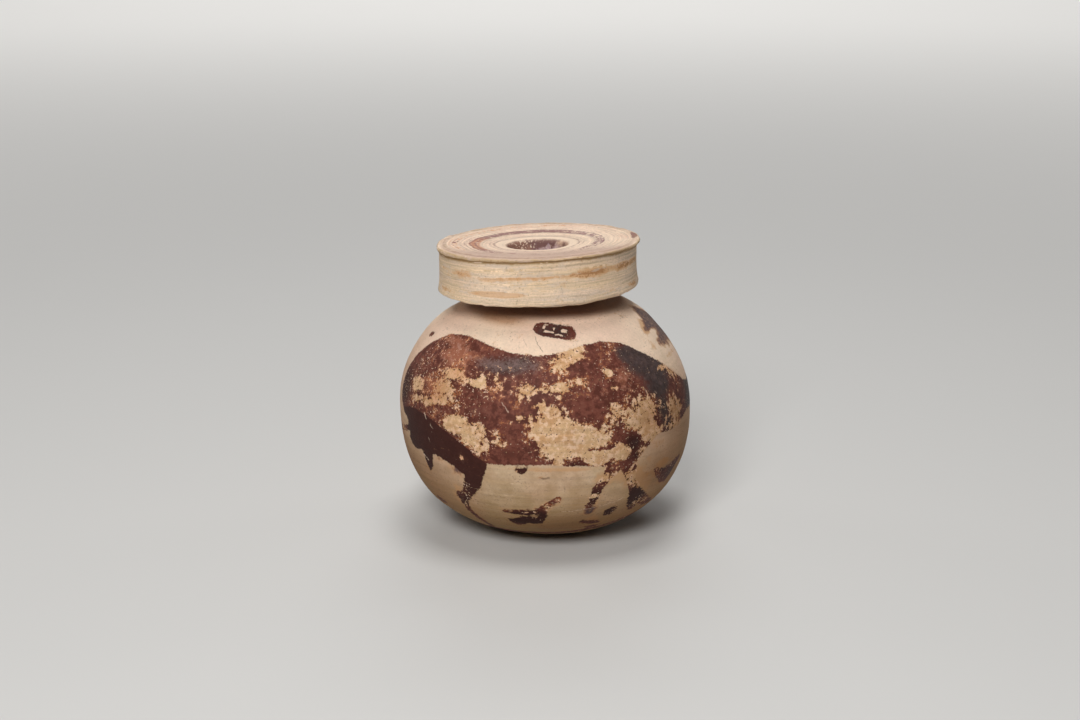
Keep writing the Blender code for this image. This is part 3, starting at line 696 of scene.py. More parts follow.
def inside_rings():
    """The inside from the funnel down the bore and round the ball to the middle of its floor."""
    ball = ball_lower(BALL_RADIUS - WALL, BELLY_HEIGHT - FLOOR, INSIDE_STEPS, 0.995)
    ball += ball_upper(BALL_RADIUS - WALL, UPPER_RISE - WALL, INSIDE_STEPS, BORE_RADIUS + 2.5 * MM)
    ceiling = ball[-1][1]
    throat = path(ball[-1], (
        (BORE_RADIUS + 0.8 * MM, ceiling + 0.2 * MM), (BORE_RADIUS, ceiling + 0.8 * MM),
        (BORE_RADIUS, ceiling + 2.2 * MM), 4))
    bore_top = [(BORE_RADIUS, 8.5 * MM), (BORE_RADIUS, 6.5 * MM)]
    funnel = path(
        bore_top[-1],
        ((BORE_RADIUS, 4.5 * MM), (6.0 * MM, 3.5 * MM), (6.2 * MM, 2.2 * MM), 8),
        ((6.4 * MM, 1.1 * MM), (6.9 * MM, DISH_DEPTH), (FUNNEL_RADIUS, DISH_DEPTH), 8))[:-1]
    rings = upright([(0.0, ball[0][1])] + ball) + leaning_in(throat) + on_disc(bore_top + funnel)
    return rings[::-1]


def profile_runs(rings):
    """Millimetres along the profile at each ring."""
    travelled = [0.0]
    for before, after in zip(rings, rings[1:]):
        travelled.append(travelled[-1] + math.hypot(after[0] - before[0], after[1] - before[1]))
    return [distance / MM for distance in travelled]


def profile_mesh():
    """A chain of points, one for each ring, with its share of the disc's frame and its run."""
    rings = outside_rings() + inside_rings()
    mesh = bpy.data.meshes.new("flask profile")
    mesh.from_pydata([(radius, 0.0, height) for radius, height, _ in rings],
                     [(index, index + 1) for index in range(len(rings) - 1)], [])
    set_point_values(mesh, "lean", [share for _, _, share in rings])
    set_point_values(mesh, "run", profile_runs(rings))
    return mesh


TURNED_CLAY_INPUTS = [
    ("Geometry", "NodeSocketGeometry", None), ("Material", "NodeSocketMaterial", None),
    ("Columns", "NodeSocketInt", 200), ("Front Crowding", "NodeSocketFloat", 0.3),
    ("Disc Centre", "NodeSocketVector", (0.0, 0.0, 0.06)),
    ("Disc Tilt", "NodeSocketVector", (0.0, 0.0, 0.0)),
    ("Ripple Height", "NodeSocketFloat", 0.0001), ("Wobble Height", "NodeSocketFloat", 0.0002),
    ("Seed", "NodeSocketFloat", THROWING_SEED)]


def turned_clay_tree():
    """Turns a profile into a thrown wall of columns, closer at the front, then ripples it."""
    tree = bpy.data.node_groups.new("Turned clay", "GeometryNodeTree")
    for name, kind, default in TURNED_CLAY_INPUTS:
        socket = tree.interface.new_socket(name, in_out="INPUT", socket_type=kind)
        if default is not None:
            socket.default_value = default
    tree.interface.new_socket("Geometry", in_out="OUTPUT", socket_type="NodeSocketGeometry")
    bench = Bench(tree)
    given = tree.nodes.new("NodeGroupInput")
    value = {name: Wire(bench, given.outputs[name]) for name, _, _ in TURNED_CLAY_INPUTS}

    def from_profile(field, kind="FLOAT"):
        return bench.node("GeometryNodeSampleIndex", {"data_type": kind},
                          {"Geometry": value["Geometry"], "Value": field, "Index": row})

    def named(name):
        return bench.node("GeometryNodeInputNamedAttribute", {"data_type": "FLOAT"}, {"Name": name})

    rows = bench.node("GeometryNodeAttributeDomainSize", {"component": "MESH"},
                      {"Geometry": value["Geometry"]}, output="Point Count")
    wall = bench.node("GeometryNodeMeshGrid", None,
                      {"Vertices X": value["Columns"] + 1, "Vertices Y": rows}, output="Mesh")
    index = bench.node("GeometryNodeInputIndex")
    row = index.maths("MODULO", rows)
    column = (index / rows).maths("FLOOR")
    turn = column / value["Columns"] * (2 * math.pi)
    angle = turn + turn.maths("SINE") * value["Front Crowding"] - math.pi

    position = bench.node("GeometryNodeInputPosition")
    radius, _, height = bench.separate(from_profile(position, "FLOAT_VECTOR"))
    forward = radius * angle.maths("COSINE") * -1
    on_ball = bench.combine(radius * angle.maths("SINE"), forward, height)
    disc_height = bench.separate(value["Disc Centre"])[2]
    lowered = bench.vector_maths("SUBTRACT", on_ball, bench.combine(0.0, 0.0, disc_height))
    turned = bench.node("ShaderNodeVectorRotate", {"rotation_type": "EULER_XYZ"},
                        {"Vector": lowered, "Rotation": value["Disc Tilt"]})
    askew = bench.vector_maths("ADD", turned, value["Disc Centre"])
    lean = from_profile(named("lean"))
    place = bench.node("ShaderNodeMix", {"data_type": "VECTOR"},
                       {0: lean, 4: on_ball, 5: askew}, output=1)

    wall = bench.node("GeometryNodeSetPosition", None, {"Geometry": wall, "Position": place})
    for name, field in (("run", from_profile(named("run"))), ("lean", lean)):
        wall = bench.node("GeometryNodeStoreNamedAttribute",
                          {"data_type": "FLOAT", "domain": "POINT"},
                          {"Geometry": wall, "Name": name, "Value": field})
    wall = bench.node("GeometryNodeMergeByDistance", None, {"Geometry": wall, "Distance": WELD})

    x, y, z = bench.separate(position)
    ripple_place = bench.combine(x * 40 + value["Seed"], y * 40, named("run") * 0.42)
    ripple = bench.noise(ripple_place, 1.0, 2.0).swing * value["Ripple Height"]
    wobble_place = bench.vector_maths("ADD", position, bench.combine(value["Seed"], 0.0, 0.0))
    wobble = bench.noise(wobble_place, 55.0, 1.0).swing * value["Wobble Height"]
    off_the_floor = (z / (2 * MM)).clamped()
    push = bench.vector_maths("SCALE", bench.node("GeometryNodeInputNormal"),
                              Scale=(ripple + wobble) * off_the_floor)
    wall = bench.node("GeometryNodeSetPosition", None, {"Geometry": wall, "Offset": push})
    wall = bench.node("GeometryNodeSetShadeSmooth", None, {"Geometry": wall, "Shade Smooth": True})
    wall = bench.node("GeometryNodeRealizeInstances", None, {"Geometry": wall})
    wall = bench.node("GeometryNodeSetMaterial", None,
                      {"Geometry": wall, "Material": value["Material"]})
    bench.node("NodeGroupOutput", None, {"Geometry": wall})
    return tree


def turn_the_clay(sizes, material):
    """Runs the Turned clay tree on the flask's profile and returns the plain mesh."""
    tree = turned_clay_tree()
    blank = new_object("flask profile", profile_mesh())
    modifier = blank.modifiers.new("Turned clay", "NODES")
    modifier.node_group = tree
    given = {
        "Material": material, "Columns": sizes.columns, "Front Crowding": sizes.crowding,
        "Disc Centre": DISC_CENTRE, "Disc Tilt": Vector(DISC_TILT),
        "Ripple Height": sizes.ripple, "Wobble Height": sizes.wobble, "Seed": THROWING_SEED}
    for socket in tree.interface.items_tree:
        if socket.name in given:
            modifier[socket.identifier] = given[socket.name]
    mesh = plain_mesh(blank)
    bpy.data.objects.remove(blank)
    return mesh


def smooth_route(knots, steps_per_span):
    """A smooth curve through the knots, by Catmull-Rom spans."""
    route = []
    for index in range(len(knots) - 1):
        before = knots[max(index - 1, 0)]
        after = knots[min(index + 2, len(knots) - 1)]
        start, end = knots[index], knots[index + 1]
        span = interpolate_bezier(start, start + (end - before) / 6, end - (after - start) / 6,
                                  end, steps_per_span + 1)
        route += span[:-1]
    route.append(knots[-1])
    return route


def inside_the_wall(corner):
    """Keeps the strap's buried end out of the hollow."""
    rise = (corner.z - BELLY_HEIGHT) / (UPPER_RISE - WALL / 2)
    middle_of_wall = (BALL_RADIUS - WALL / 2) * math.sqrt(max(0.0, 1 - rise ** 2))
    out = math.hypot(corner.x, corner.y)
    if out < middle_of_wall:
        corner.x *= middle_of_wall / out
        corner.y *= middle_of_wall / out
    return corner


def strap_ring(sizes, route, index):
    """One rounded oblong across the strap, wider and thicker towards its two roots."""
    last = len(route) - 1
    centre = route[index]
    along = (route[min(index + 1, last)] - route[max(index - 1, 0)]).normalized()
    across = Vector((1, 0, 0))
    outward = across.cross(along).normalized()
    root = abs(index / last * 2 - 1) ** 3
    unevenness = 1 + HANDLE_UNEVENNESS * noise.noise(Vector((index * 0.13, HANDLE_SEED, 0.0)))
    half_width = sizes.handle_width / 2 * (1 + HANDLE_ROOT_WIDENING * root) * unevenness
    half_thickness = sizes.handle_thickness / 2 * (1 + HANDLE_ROOT_THICKENING * root) * unevenness
    ring = []
    for side in range(HANDLE_SIDES):
        angle = 2 * math.pi * side / HANDLE_SIDES
        cosine, sine = math.cos(angle), math.sin(angle)
        wide = math.copysign(abs(cosine) ** (2 / HANDLE_SQUARENESS), cosine)
        thick = math.copysign(abs(sine) ** (2 / HANDLE_SQUARENESS), sine)
        corner = centre + across * wide * half_width + outward * thick * half_thickness
        ring.append(inside_the_wall(corner) if corner.z < NECK_HEIGHT else corner)
    return ring


def strap_mesh(sizes, material):
    """The strap that leaves the disc's back wall and comes down on the shoulder."""
    route = smooth_route([Vector(point) * MM for point in HANDLE_ROUTE], HANDLE_STEPS_PER_SPAN)
    strap = bmesh.new()
    rings = [[strap.verts.new(corner) for corner in strap_ring(sizes, route, index)]
             for index in range(len(route))]
    for ring, following in zip(rings, rings[1:]):
        for side in range(HANDLE_SIDES):
            after = (side + 1) % HANDLE_SIDES
            strap.faces.new((ring[side], ring[after], following[after], following[side]))
    strap.faces.new(rings[0])
    strap.faces.new(rings[-1][::-1])
    bmesh.ops.recalc_face_normals(strap, faces=strap.faces)
    bmesh.ops.triangulate(strap, faces=[face for face in strap.faces if len(face.verts) > 4])
    for face in strap.faces:
        face.smooth = True
    mesh = bpy.data.meshes.new("strap")
    strap.to_mesh(mesh)
    strap.free()
    mesh.materials.append(material)
    set_point_values(mesh, "run", point_positions(mesh)[:, 0] / MM)
    return mesh


def lute(wall, strap):
    """Joins the strap to the wall as one solid."""
    for mesh, mark in ((wall, 0.0), (strap, 1.0)):
        set_point_values(mesh, "strap", np.full(len(mesh.vertices), mark))
    body = new_object("wall", wall)
    handle = new_object("strap", strap)
    union = body.modifiers.new("luting", "BOOLEAN")
    union.operation = "UNION"
    union.solver = "MANIFOLD"
    union.object = handle
    joined = plain_mesh(body)
    bpy.data.objects.remove(body)
    bpy.data.objects.remove(handle)
    if not joined.polygons:
        raise RuntimeError("The strap didn't join the wall")
    return joined


def point_positions(mesh):
    flat = np.empty(len(mesh.vertices) * 3)
    mesh.vertices.foreach_get("co", flat)
    return flat.reshape(-1, 3)


def point_values(mesh, name):
    values = np.empty(len(mesh.vertices))
    mesh.attributes[name].data.foreach_get("value", values)
    return values


def set_point_values(mesh, name, values):
    attribute = mesh.attributes.get(name) or mesh.attributes.new(name, "FLOAT", "POINT")
    attribute.data.foreach_set("value", values)


def smoothed_step(values, low, high):
    share = np.clip((values - low) / (high - low), 0.0, 1.0)
    return share * share * (3 - 2 * share)


def soften_luting(mesh, points):
    """Draws the clay smoothly over the two joints of the strap."""
    strap = point_values(mesh, "strap")
    edges = np.empty(len(mesh.edges) * 2, dtype=np.int64)
    mesh.edges.foreach_get("vertices", edges)
    first, second = edges.reshape(-1, 2).T
    crossing = np.abs(strap[first] - strap[second]) > 0.5
    seam = points[np.unique(np.concatenate([first[crossing], second[crossing]]))]
    near = np.flatnonzero(points[:, 1] > LUTING_BEHIND)
    gap = np.full(len(points), 1.0)
    for start in range(0, len(near), CHUNK):
        chunk = near[start:start + CHUNK]
        gap[chunk] = np.sqrt(((points[chunk, None] - seam[None]) ** 2).sum(axis=2).min(axis=1))
    weight = (1 - smoothed_step(gap, 0.0, LUTING_REACH))[:, None] * LUTING_PULL
    neighbours = np.bincount(edges, minlength=len(points))
    for _ in range(LUTING_ROUNDS):
        total = np.zeros_like(points)
        np.add.at(total, first, points[second])
        np.add.at(total, second, points[first])
        points = points + (total / neighbours[:, None] - points) * weight
    return points


def bearing(points):
    """Degrees round from the front, to the right."""
    return np.degrees(np.arctan2(points[:, 0], -points[:, 1]))


def turned_away(degrees, middle):
    """Degrees from the middle, the short way round."""
    return (degrees - middle + 180) % 360 - 180


def hump(degrees, middle, spread):
    """1 at the middle bearing, falling off smoothly on both sides."""
    return np.exp(-(turned_away(degrees, middle) / spread) ** 2)


def disc_place(points):
    """Bearing round the disc in degrees, then metres from its axis and metres below its rim."""
    turned = (points - np.array(DISC_CENTRE)) @ np.array(DISC_TILT.to_matrix())
    return bearing(turned), np.hypot(turned[:, 0], turned[:, 1]), -turned[:, 2]


def coarse_noise(points, size, seed):
    """Smooth noise about 0, with features of that size."""
    shift = Vector((seed, seed * 0.37, -seed))
    return np.array([noise.noise(Vector(point) / size + shift) for point in points])


def patches(first, second, spots):
    """A smooth field, raised in each spot: (first, second, half-spreads of both, strength)."""
    field = np.zeros(len(first))
    for middle, level, spread, height, strength in spots:
        away = (turned_away(first, middle) / spread) ** 2 + ((second - level) / height) ** 2
        field += strength * np.exp(-away)
    return field


def sag(points, lean):
    """The ball's lean, and its slow dents and swellings."""
    on_ball = lean < 0.5
    points[on_ball, 0] -= BALL_LEAN * (np.minimum(points[on_ball, 2], LEAN_TOP) - BELLY_HEIGHT)
    swell = patches(bearing(points), points[:, 2] / BALL_RADIUS, BALL_SWELLS)
    swell = swell * np.clip(1 - 2 * lean, 0, 1) * MM
    points[:, :2] *= 1 + (swell / BALL_RADIUS)[:, None]
    points[:, 2] += swell * np.clip((points[:, 2] - BELLY_HEIGHT) / UPPER_RISE, 0, 1)


def warp_disc(points, disc):
    """The disc's uneven thickness, then the thin part of its lip."""
    depth = disc_place(points)[2]
    down = np.clip(depth / DISC_THICKNESS, 0, 1) ** 2 * disc
    points[:, 2] += (DISC_WEDGE * points[:, 0] + DISC_THINNING) * down
    points[:, 0] -= DISC_OFFSET * down

    around, out, depth = disc_place(points)
    below = np.clip((depth - LIP_HEIGHT) / LIP_THINNING_FADE, 0, 1)
    share = np.where(depth < LIP_HEIGHT, np.clip(depth / LIP_HEIGHT, 0, 1), 1 - below)
    rise = LIP_THINNING * hump(around, LIP_THINNEST, LIP_THINNING_SPREAD) * share
    points[:, 2] += rise * (disc & (out > 0.93 * DISC_RADIUS))
    upper = np.clip(1 - depth / LIP_SHIFT_DEPTH, 0, 1)
    points[:, 0] += LIP_SHIFT * upper * disc * (out / DISC_RADIUS) ** 2
    return around, out, depth


def break_edges(points, around, depth):
    """The facets broken out of the disc's edges, its torn lower edge and its ragged rim."""
    roughness = coarse_noise(points, 3 * MM, COARSE_SEED)
    roughness += 0.6 * coarse_noise(points, 1.1 * MM, FINE_SEED)
    tilt = np.array(DISC_TILT.to_matrix())
    for azimuth, edge_depth, elevation, bite in DISC_CHIPS:
        turn, up = math.radians(azimuth), math.radians(elevation)
        outward = tilt @ np.array(
            [math.sin(turn) * math.cos(up), -math.cos(turn) * math.cos(up), math.sin(up)])
        edge = tilt @ np.array(
            [math.sin(turn) * DISC_RADIUS, -math.cos(turn) * DISC_RADIUS, -edge_depth * MM])
        stand = (points - np.array(DISC_CENTRE) - edge) @ outward + bite * MM
        cut = np.maximum(0, stand - roughness * BREAK_RAGGEDNESS * MM)
        points -= cut[:, None] * outward
    torn = smoothed_step(depth, *TORN_EDGE) * hump(around, TORN_MIDDLE, TORN_SPREAD)
    points[:, 2] += roughness * (RAGGEDNESS + TORN_RAGGEDNESS * torn) * MM
    return points


def weather(mesh, points):
    """Everything that throwing, drying and long use did to the flask's form."""
    lean = point_values(mesh, "lean")
    points = points.copy()
    sag(points, lean)
    disc = (lean > 0.99) & (disc_place(points)[1] > BORE_RADIUS * 2)
    around, out, depth = warp_disc(points, disc)
    ragged = np.flatnonzero(disc & (out > 0.8 * DISC_RADIUS))
    points[ragged] = break_edges(points[ragged], around[ragged], depth[ragged])
    return points


def stroke_depth(azimuth, run, radius, stroke):
    """How deep each point lies inside a brush stroke, in millimetres; negative outside."""
    deepest = np.full(len(azimuth), UNPAINTED)
    for (turn_0, run_0, half_0), (turn_1, run_1, half_1) in zip(stroke, stroke[1:]):
        middle = (turn_0 + turn_1) / 2
        across = np.radians(turned_away(azimuth, middle)) * radius
        start = np.radians(turn_0 - middle) * radius
        span = np.radians(turn_1 - turn_0) * radius
        rise = run_1 - run_0
        share = ((across - start) * span + (run - run_0) * rise) / (span ** 2 + rise ** 2 + 1e-9)
        share = np.clip(share, 0, 1)
        gap = np.hypot(across - start - share * span, run - run_0 - share * rise)
        deepest = np.maximum(deepest, half_0 + share * (half_1 - half_0) - gap)
    return deepest


def inside_outline(azimuth, run, outline):
    """Whether each point is inside a closed outline."""
    middle = (min(turn for turn, _ in outline) + max(turn for turn, _ in outline)) / 2
    across = turned_away(azimuth, middle) + middle
    inside = np.zeros(len(azimuth), dtype=bool)
    for (turn_0, run_0), (turn_1, run_1) in zip(outline, outline[1:] + outline[:1]):
        if run_0 == run_1:
            continue
        crossing = turn_0 + (run - run_0) / (run_1 - run_0) * (turn_1 - turn_0)
        inside ^= ((run_0 > run) != (run_1 > run)) & (across < crossing)
    return inside


def lay_the_picture(mesh, points):
    """Names where the slip lies, how worn it is and which colour it fired, on the ball's points."""
    rings = outside_rings()
    runs = point_values(mesh, "run")
    ring_runs = profile_runs(rings)
    ball_rings = [(height, run) for (_, height, share), run in zip(rings, ring_runs) if share < 0.5]
    heights, height_runs = zip(*ball_rings[FOOT_STEPS:])
    on_ball = point_values(mesh, "lean") < 0.9
    ball = on_ball & (runs < ring_runs[-1]) & (point_values(mesh, "strap") <= 0.5)

    azimuth = bearing(points[ball])
    run = runs[ball]
    radius = np.maximum(np.hypot(points[ball, 0], points[ball, 1]) / MM, 1.0)
    height = points[ball, 2] / BALL_RADIUS

    def on_wall(places):
        return [(turn, float(np.interp(share * BALL_RADIUS, heights, height_runs)), *rest)
                for turn, share, *rest in places]

    def outlined(corners):
        outline = on_wall(corners)
        closed = [(*corner, 0.0) for corner in outline + outline[:1]]
        edge = -stroke_depth(azimuth, run, radius, closed)
        return np.where(inside_outline(azimuth, run, outline), edge, -edge)

    paint = outlined(ANIMAL_OUTLINE)
    for stroke in [*BRUSH_STROKES, *FILLERS, GROUND_LINE, OBLONG]:
        paint = np.maximum(paint, stroke_depth(azimuth, run, radius, on_wall(stroke)))

    fields = {name: (patches(azimuth, height, spots), 0.0) for name, spots in PATCHES.items()}
    fields["paint"] = (paint, UNPAINTED)
    fields["thigh"] = (outlined(THIGH_OUTLINE), UNPAINTED)
    for name, (values, elsewhere) in fields.items():
        everywhere = np.full(len(points), elsewhere)
        everywhere[ball] = values
        set_point_values(mesh, name, everywhere)


def lay_the_bands(mesh, points):
    """Names the places of the disc's bands, stains and streaks, on the disc's points."""
    around, out, depth = disc_place(points)
    share = out / DISC_RADIUS
    disc = (point_values(mesh, "lean") > 0.99) & (point_values(mesh, "strap") <= 0.5)
    side = disc & (out > 0.9 * DISC_RADIUS)
    upper = disc & ((depth < 1.4 * MM) | (out < FUNNEL_RADIUS + 1 * MM))
    set_point_values(mesh, "ring", np.where(upper, share, OFF_THE_TOP))
    set_point_values(mesh, "below_rim", np.where(side, depth / MM, OFF_THE_WALL))
    top = disc & (depth < 1.2 * MM)
    set_point_values(mesh, "stain", patches(around, share, RIM_STAINS) * top)
    set_point_values(mesh, "rust", patches(around, depth / MM, RUST_STREAKS) * side)
    set_point_values(mesh, "gilt", patches(around, depth / MM, GILT_STREAKS) * side)


def ball_point(turn, share):
    """The point of the ball's outside at that bearing and height share, in millimetres."""
    rise = share * BALL_RADIUS - BELLY_HEIGHT
    if rise > 0:
        out = BALL_RADIUS * math.sqrt(max(0.0, 1 - (rise / UPPER_RISE) ** 2))
    else:
        out = BALL_RADIUS * (1 - (-rise / LOWER_DEPTH) ** LOWER_FULLNESS) ** (1 / LOWER_FULLNESS)
    angle = math.radians(turn)
    return Vector((out * math.sin(angle), -out * math.cos(angle), share * BALL_RADIUS)) / MM


def band(value, low, high, softness):
    """1 where the value is between low and high."""
    above_low = value.ramp_up(low - softness, low + softness)
    return above_low * value.ramp_up(high + softness, high - softness)


class PaintedClay(Bench):
    """The material of thrown clay with its worn slips. Its patterns are laid out in millimetres."""

    def __init__(self, tree, colours):
        super().__init__(tree)
        self.colours = colours
        place = self.node("ShaderNodeTexCoord", output="Object")
        self.at = self.vector_maths("MULTIPLY", place, (1 / MM, 1 / MM, 1 / MM))
        self.x, self.y, self.z = self.separate(self.at)
        self.run = self.attribute("run")

        # Noises, from the broadest to the finest, then those drawn out round the wheel
        self.cloud = self.noise(self.at, 0.07, 3.0)
        self.blotch = self.noise(self.at, 0.26, 4.0, 0.6)
        self.mottle = self.noise(self.at, 0.85, 4.0, 0.65)
        self.shards = self.noise(self.at, 1.35, 3.0, 0.55, 0.6)
        self.crumble = self.noise(self.at, 2.3, 3.0, 0.6)
        self.grain = self.noise(self.at, 6.0, 2.0)
        self.wheel = self.thrown_noise(0.035, 0.75)
        self.comb = self.thrown_noise(0.06, 3.0, 2.0)
        self.drift = self.thrown_noise(0.22, 1.6)
        self.streaks = self.thrown_noise(0.45, 2.0)

        # Where the parts of the flask lie
        self.ring = self.attribute("ring")
        self.below_rim = self.attribute("below_rim")
        self.on_top = self.ring.ramp_up(1.3, 1.1)
        self.on_wall = band(self.below_rim, 1.9, 14.0, 0.4)
        self.low = self.z.ramp_up(17.0, 11.0)
        self.rub = self.stir(mottle=1.2, crumble=0.8)

    def thrown_noise(self, round_it, up_it, detail=3.0):
        """Noise drawn out round the wheel: its features a millimetre round the wall and up it."""
        place = self.combine(self.x * round_it, self.y * round_it, self.run * up_it)
        return self.noise(place, 1.0, detail, 0.6)

    def stir(self, start=None, **weights):
        """The named noises about 0, each in its weight, added one after another to the start."""
        total = start
        for name, weight in weights.items():
            part = getattr(self, name).swing * weight
            total = part if total is None else total + part
        return total

    def throw_the_clay(self):
        """The clay itself: lined by the wheel, unevenly fired, pitted and stained, browner and
        darker with painted shade towards the bottom, and darker under the disc with a painted
        shadow.
        """
        colours, blotch, comb, wheel = self.colours, self.blotch, self.comb, self.wheel
        skin = Coat(self, colours.clay)
        skin.lay(self.cloud.ramp_up(0.38, 0.64), colours.clay_pink)
        lines = self.z.ramp_up(44.0, 30.0) * 0.8 + 0.2
        unevenness = self.stir(self.stir(wheel=0.45, comb=0.32) * lines, grain=0.24, blotch=0.26)
        self.unevenness = self.stir(unevenness + 1, crumble=0.30)
        skin.shade(self.unevenness)
        # Browner and darker towards the bottom: the tan is the clay's own, the darkening is painted
        # shade
        lower_tan_and_shade = (self.z + blotch.swing * 26).ramp_up(46.0, 4.0)
        skin.tint(lower_tan_and_shade * (0.65 + comb * 0.4), colours.lower_tan_and_shade)
        yellowed = (self.cloud * 0.5 + wheel * 0.5).ramp_up(0.40, 0.58)
        skin.lay(self.on_wall * (yellowed * 0.7 + 0.2), colours.clay_yellow)
        skin.shade(self.on_wall * self.stir(comb=1.15, wheel=0.6, crumble=0.3, grain=0.25) + 1)
        # Painted shadow on the neck and shoulder under the disc's overhang
        out = (self.x * self.x + self.y * self.y).maths("SQRT")
        under_disc_shadow_mask = out.ramp_up(18.6, 15.8) * band(self.z, 48.5, 53.0, 0.8)
        skin.tint(under_disc_shadow_mask * 0.85, colours.under_disc_shadow)
        self.pits = (self.crumble - blotch.swing * 0.35).ramp_up(0.36, 0.30)
        skin.lay(self.pits * 0.35, colours.dark)
        scores = self.stir(comb, wheel=0.5).ramp_up(0.36, 0.30) * self.mottle.ramp_up(0.46, 0.56)
        skin.lay(scores * lines * 0.35, colours.ochre)
        tanned = self.stir(self.attribute("tanned"), blotch=0.9, mottle=1.0).ramp_up(0.22, 0.75)
        skin.lay(tanned * 0.75, colours.bare)
        return skin

    def place_the_slip(self):
        """Where the slip was painted, where it was laid thick, and where it has flaked off."""
        low_streaks = self.streaks.swing * self.low
        self.paint = self.attribute("paint")
        self.firm = self.stir(self.attribute("thigh"), mottle=1.2).ramp_up(-0.25, 0.25)
        self.worn = self.attribute("wear") * (1 - self.firm * 0.8) - self.firm * 0.9
        self.ragged = self.stir(mottle=0.9, crumble=0.9) + low_streaks * 1.8
        self.inside = (self.paint + self.ragged).ramp_up(-0.12, 0.14)
        loss = self.stir(self.worn * 0.30, blotch=0.50, mottle=0.84, shards=0.42, crumble=0.14)
        self.loss = loss + low_streaks * 0.6
        self.flaked = self.loss.ramp_up(0.150, 0.170)
        glow = self.stir(self.attribute("glow"), mottle=1.6, blotch=0.8, shards=0.8)
        self.glow = glow.ramp_up(0.20, 1.0)
        black = self.attribute("black")
        self.sooted = black.ramp_up(0.10, 0.40)
        fired = self.stir(black, blotch=1.4, mottle=1.3, shards=0.9, crumble=0.6) - self.firm * 0.6
        self.black = fired.ramp_up(0.22, 1.10) * black.ramp_up(0.03, 0.30)
        self.veil = self.attribute("veil")

    def bare_clay(self):
        """The floor of the flake scars, with the crumbs of slip that still cling there."""
        colours, mottle, shards = self.colours, self.mottle, self.shards
        bare = Coat(self, colours.bare)
        bare.lay((self.blotch * 0.6 + self.cloud * 0.4).ramp_up(0.42, 0.58), colours.bare_pale)
        bare.lay(mottle.ramp_up(0.48, 0.62) * 0.5, colours.clay_pink)
        bare.lay(self.glow * 0.42, colours.rust)
        bare.shade(self.stir(self.unevenness, mottle=0.55, shards=0.35))
        fringe = band(self.loss, 0.15, 0.20, 0.03)
        bare.lay(fringe * shards.ramp_up(0.45, 0.60) * 0.6, colours.rust)
        clinging = self.crumble * 0.6 + shards * 0.4 + self.loss.ramp_up(0.36, 0.16) * 0.065
        crumbs = self.stir(clinging, blotch=0.12).ramp_up(0.595, 0.615)
        bare.lay(crumbs * 0.9, self.mix(shards.ramp_up(0.42, 0.58), colours.red, colours.dark))
        return bare.colour

    def fired_slip(self):
        """The slip as it fired: red, bright, thick and brown, or black under a grey haze."""
        colours, blotch, mottle, shards = self.colours, self.blotch, self.mottle, self.shards
        slip = Coat(self, colours.red)
        slip.lay(mottle.ramp_up(0.36, 0.66) * 0.6, colours.red_pale)
        slip.lay((blotch * 0.5 + mottle * 0.5).ramp_up(0.52, 0.42) * 0.45, colours.dark)
        slip.lay(self.glow * 0.85, colours.glow)
        bloom = (mottle * 0.5 + shards * 0.5).ramp_up(0.50, 0.62) * self.glow
        slip.lay(bloom * 0.50, colours.blush)
        thick = self.stir(self.attribute("dark") + self.firm, blotch=0.7, mottle=0.6)
        thick = thick.ramp_up(0.20, 0.65)
        slip.lay(thick * 0.9, colours.dark)
        soot = self.mix(shards.ramp_up(0.38, 0.58), colours.black, colours.black_blue)
        slip.lay(self.black * 0.88, soot)
        haze = self.stir(self.veil, mottle=1.3, shards=1.0, crumble=1.4).ramp_up(0.38, 0.85)
        slip.lay(haze * self.sooted * 0.62, colours.haze)
        slip.shade(self.black * self.stir(shards=1.5, mottle=1.3, crumble=0.8) + 1)
        slip.shade(self.stir(grain=0.35, crumble=0.25) + 1)
        near = self.loss.ramp_up(0.07, 0.15)
        rubbed = (blotch.ramp_up(0.46, 0.58) + self.glow * 0.7).clamped()
        slip.lay(near * rubbed * (1 - thick) * (1 - self.black) * 0.55, colours.rust)
        crowd = self.stir(cloud=0.24, blotch=0.30) - self.firm * 0.07 - self.black * 0.03
        crowd = crowd + self.worn.minimum(0.0) * 0.08
        specks = (self.crumble * -1 + 0.5 + crowd + near * 0.02).ramp_up(0.138, 0.160)
        nicked = self.mix(shards.ramp_up(0.45, 0.60), colours.speck, colours.bare_pale)
        slip.lay(specks * 0.85, nicked)
        return slip.colour

    def wash_the_clay(self, skin):
        """Slip that has bled round the picture, and the thin dark wash on the shoulder."""
        colours, blotch, mottle = self.colours, self.blotch, self.mottle
        bled = (self.paint + self.ragged * 1.6 - 0.2).ramp_up(-0.9, 0.3)
        bled = bled * (0.40 + self.low * 0.5 + self.worn * 0.5).clamped()
        skin.lay(bled * (blotch * 0.5 + mottle * 0.5).ramp_up(0.42, 0.56) * 0.8, colours.bare)
        veil = self.stir(self.veil, blotch=1.2, mottle=0.9, crumble=0.3)
        skin.lay(veil.ramp_up(0.16, 0.40) * 0.55, colours.bare)
        browned = self.stir(veil.ramp_up(1.0, 0.45) * 1.05, shards=2.2, mottle=1.6).clamped()
        rubbed = 1.30 - (self.crumble * 0.6 + self.shards * 0.4).ramp_up(0.52, 0.62) * 0.45
        skin.lay(veil.ramp_up(0.28, 0.66) * (rubbed * 0.72).minimum(0.94),
                 self.mix(browned, colours.veil, colours.veil_brown))

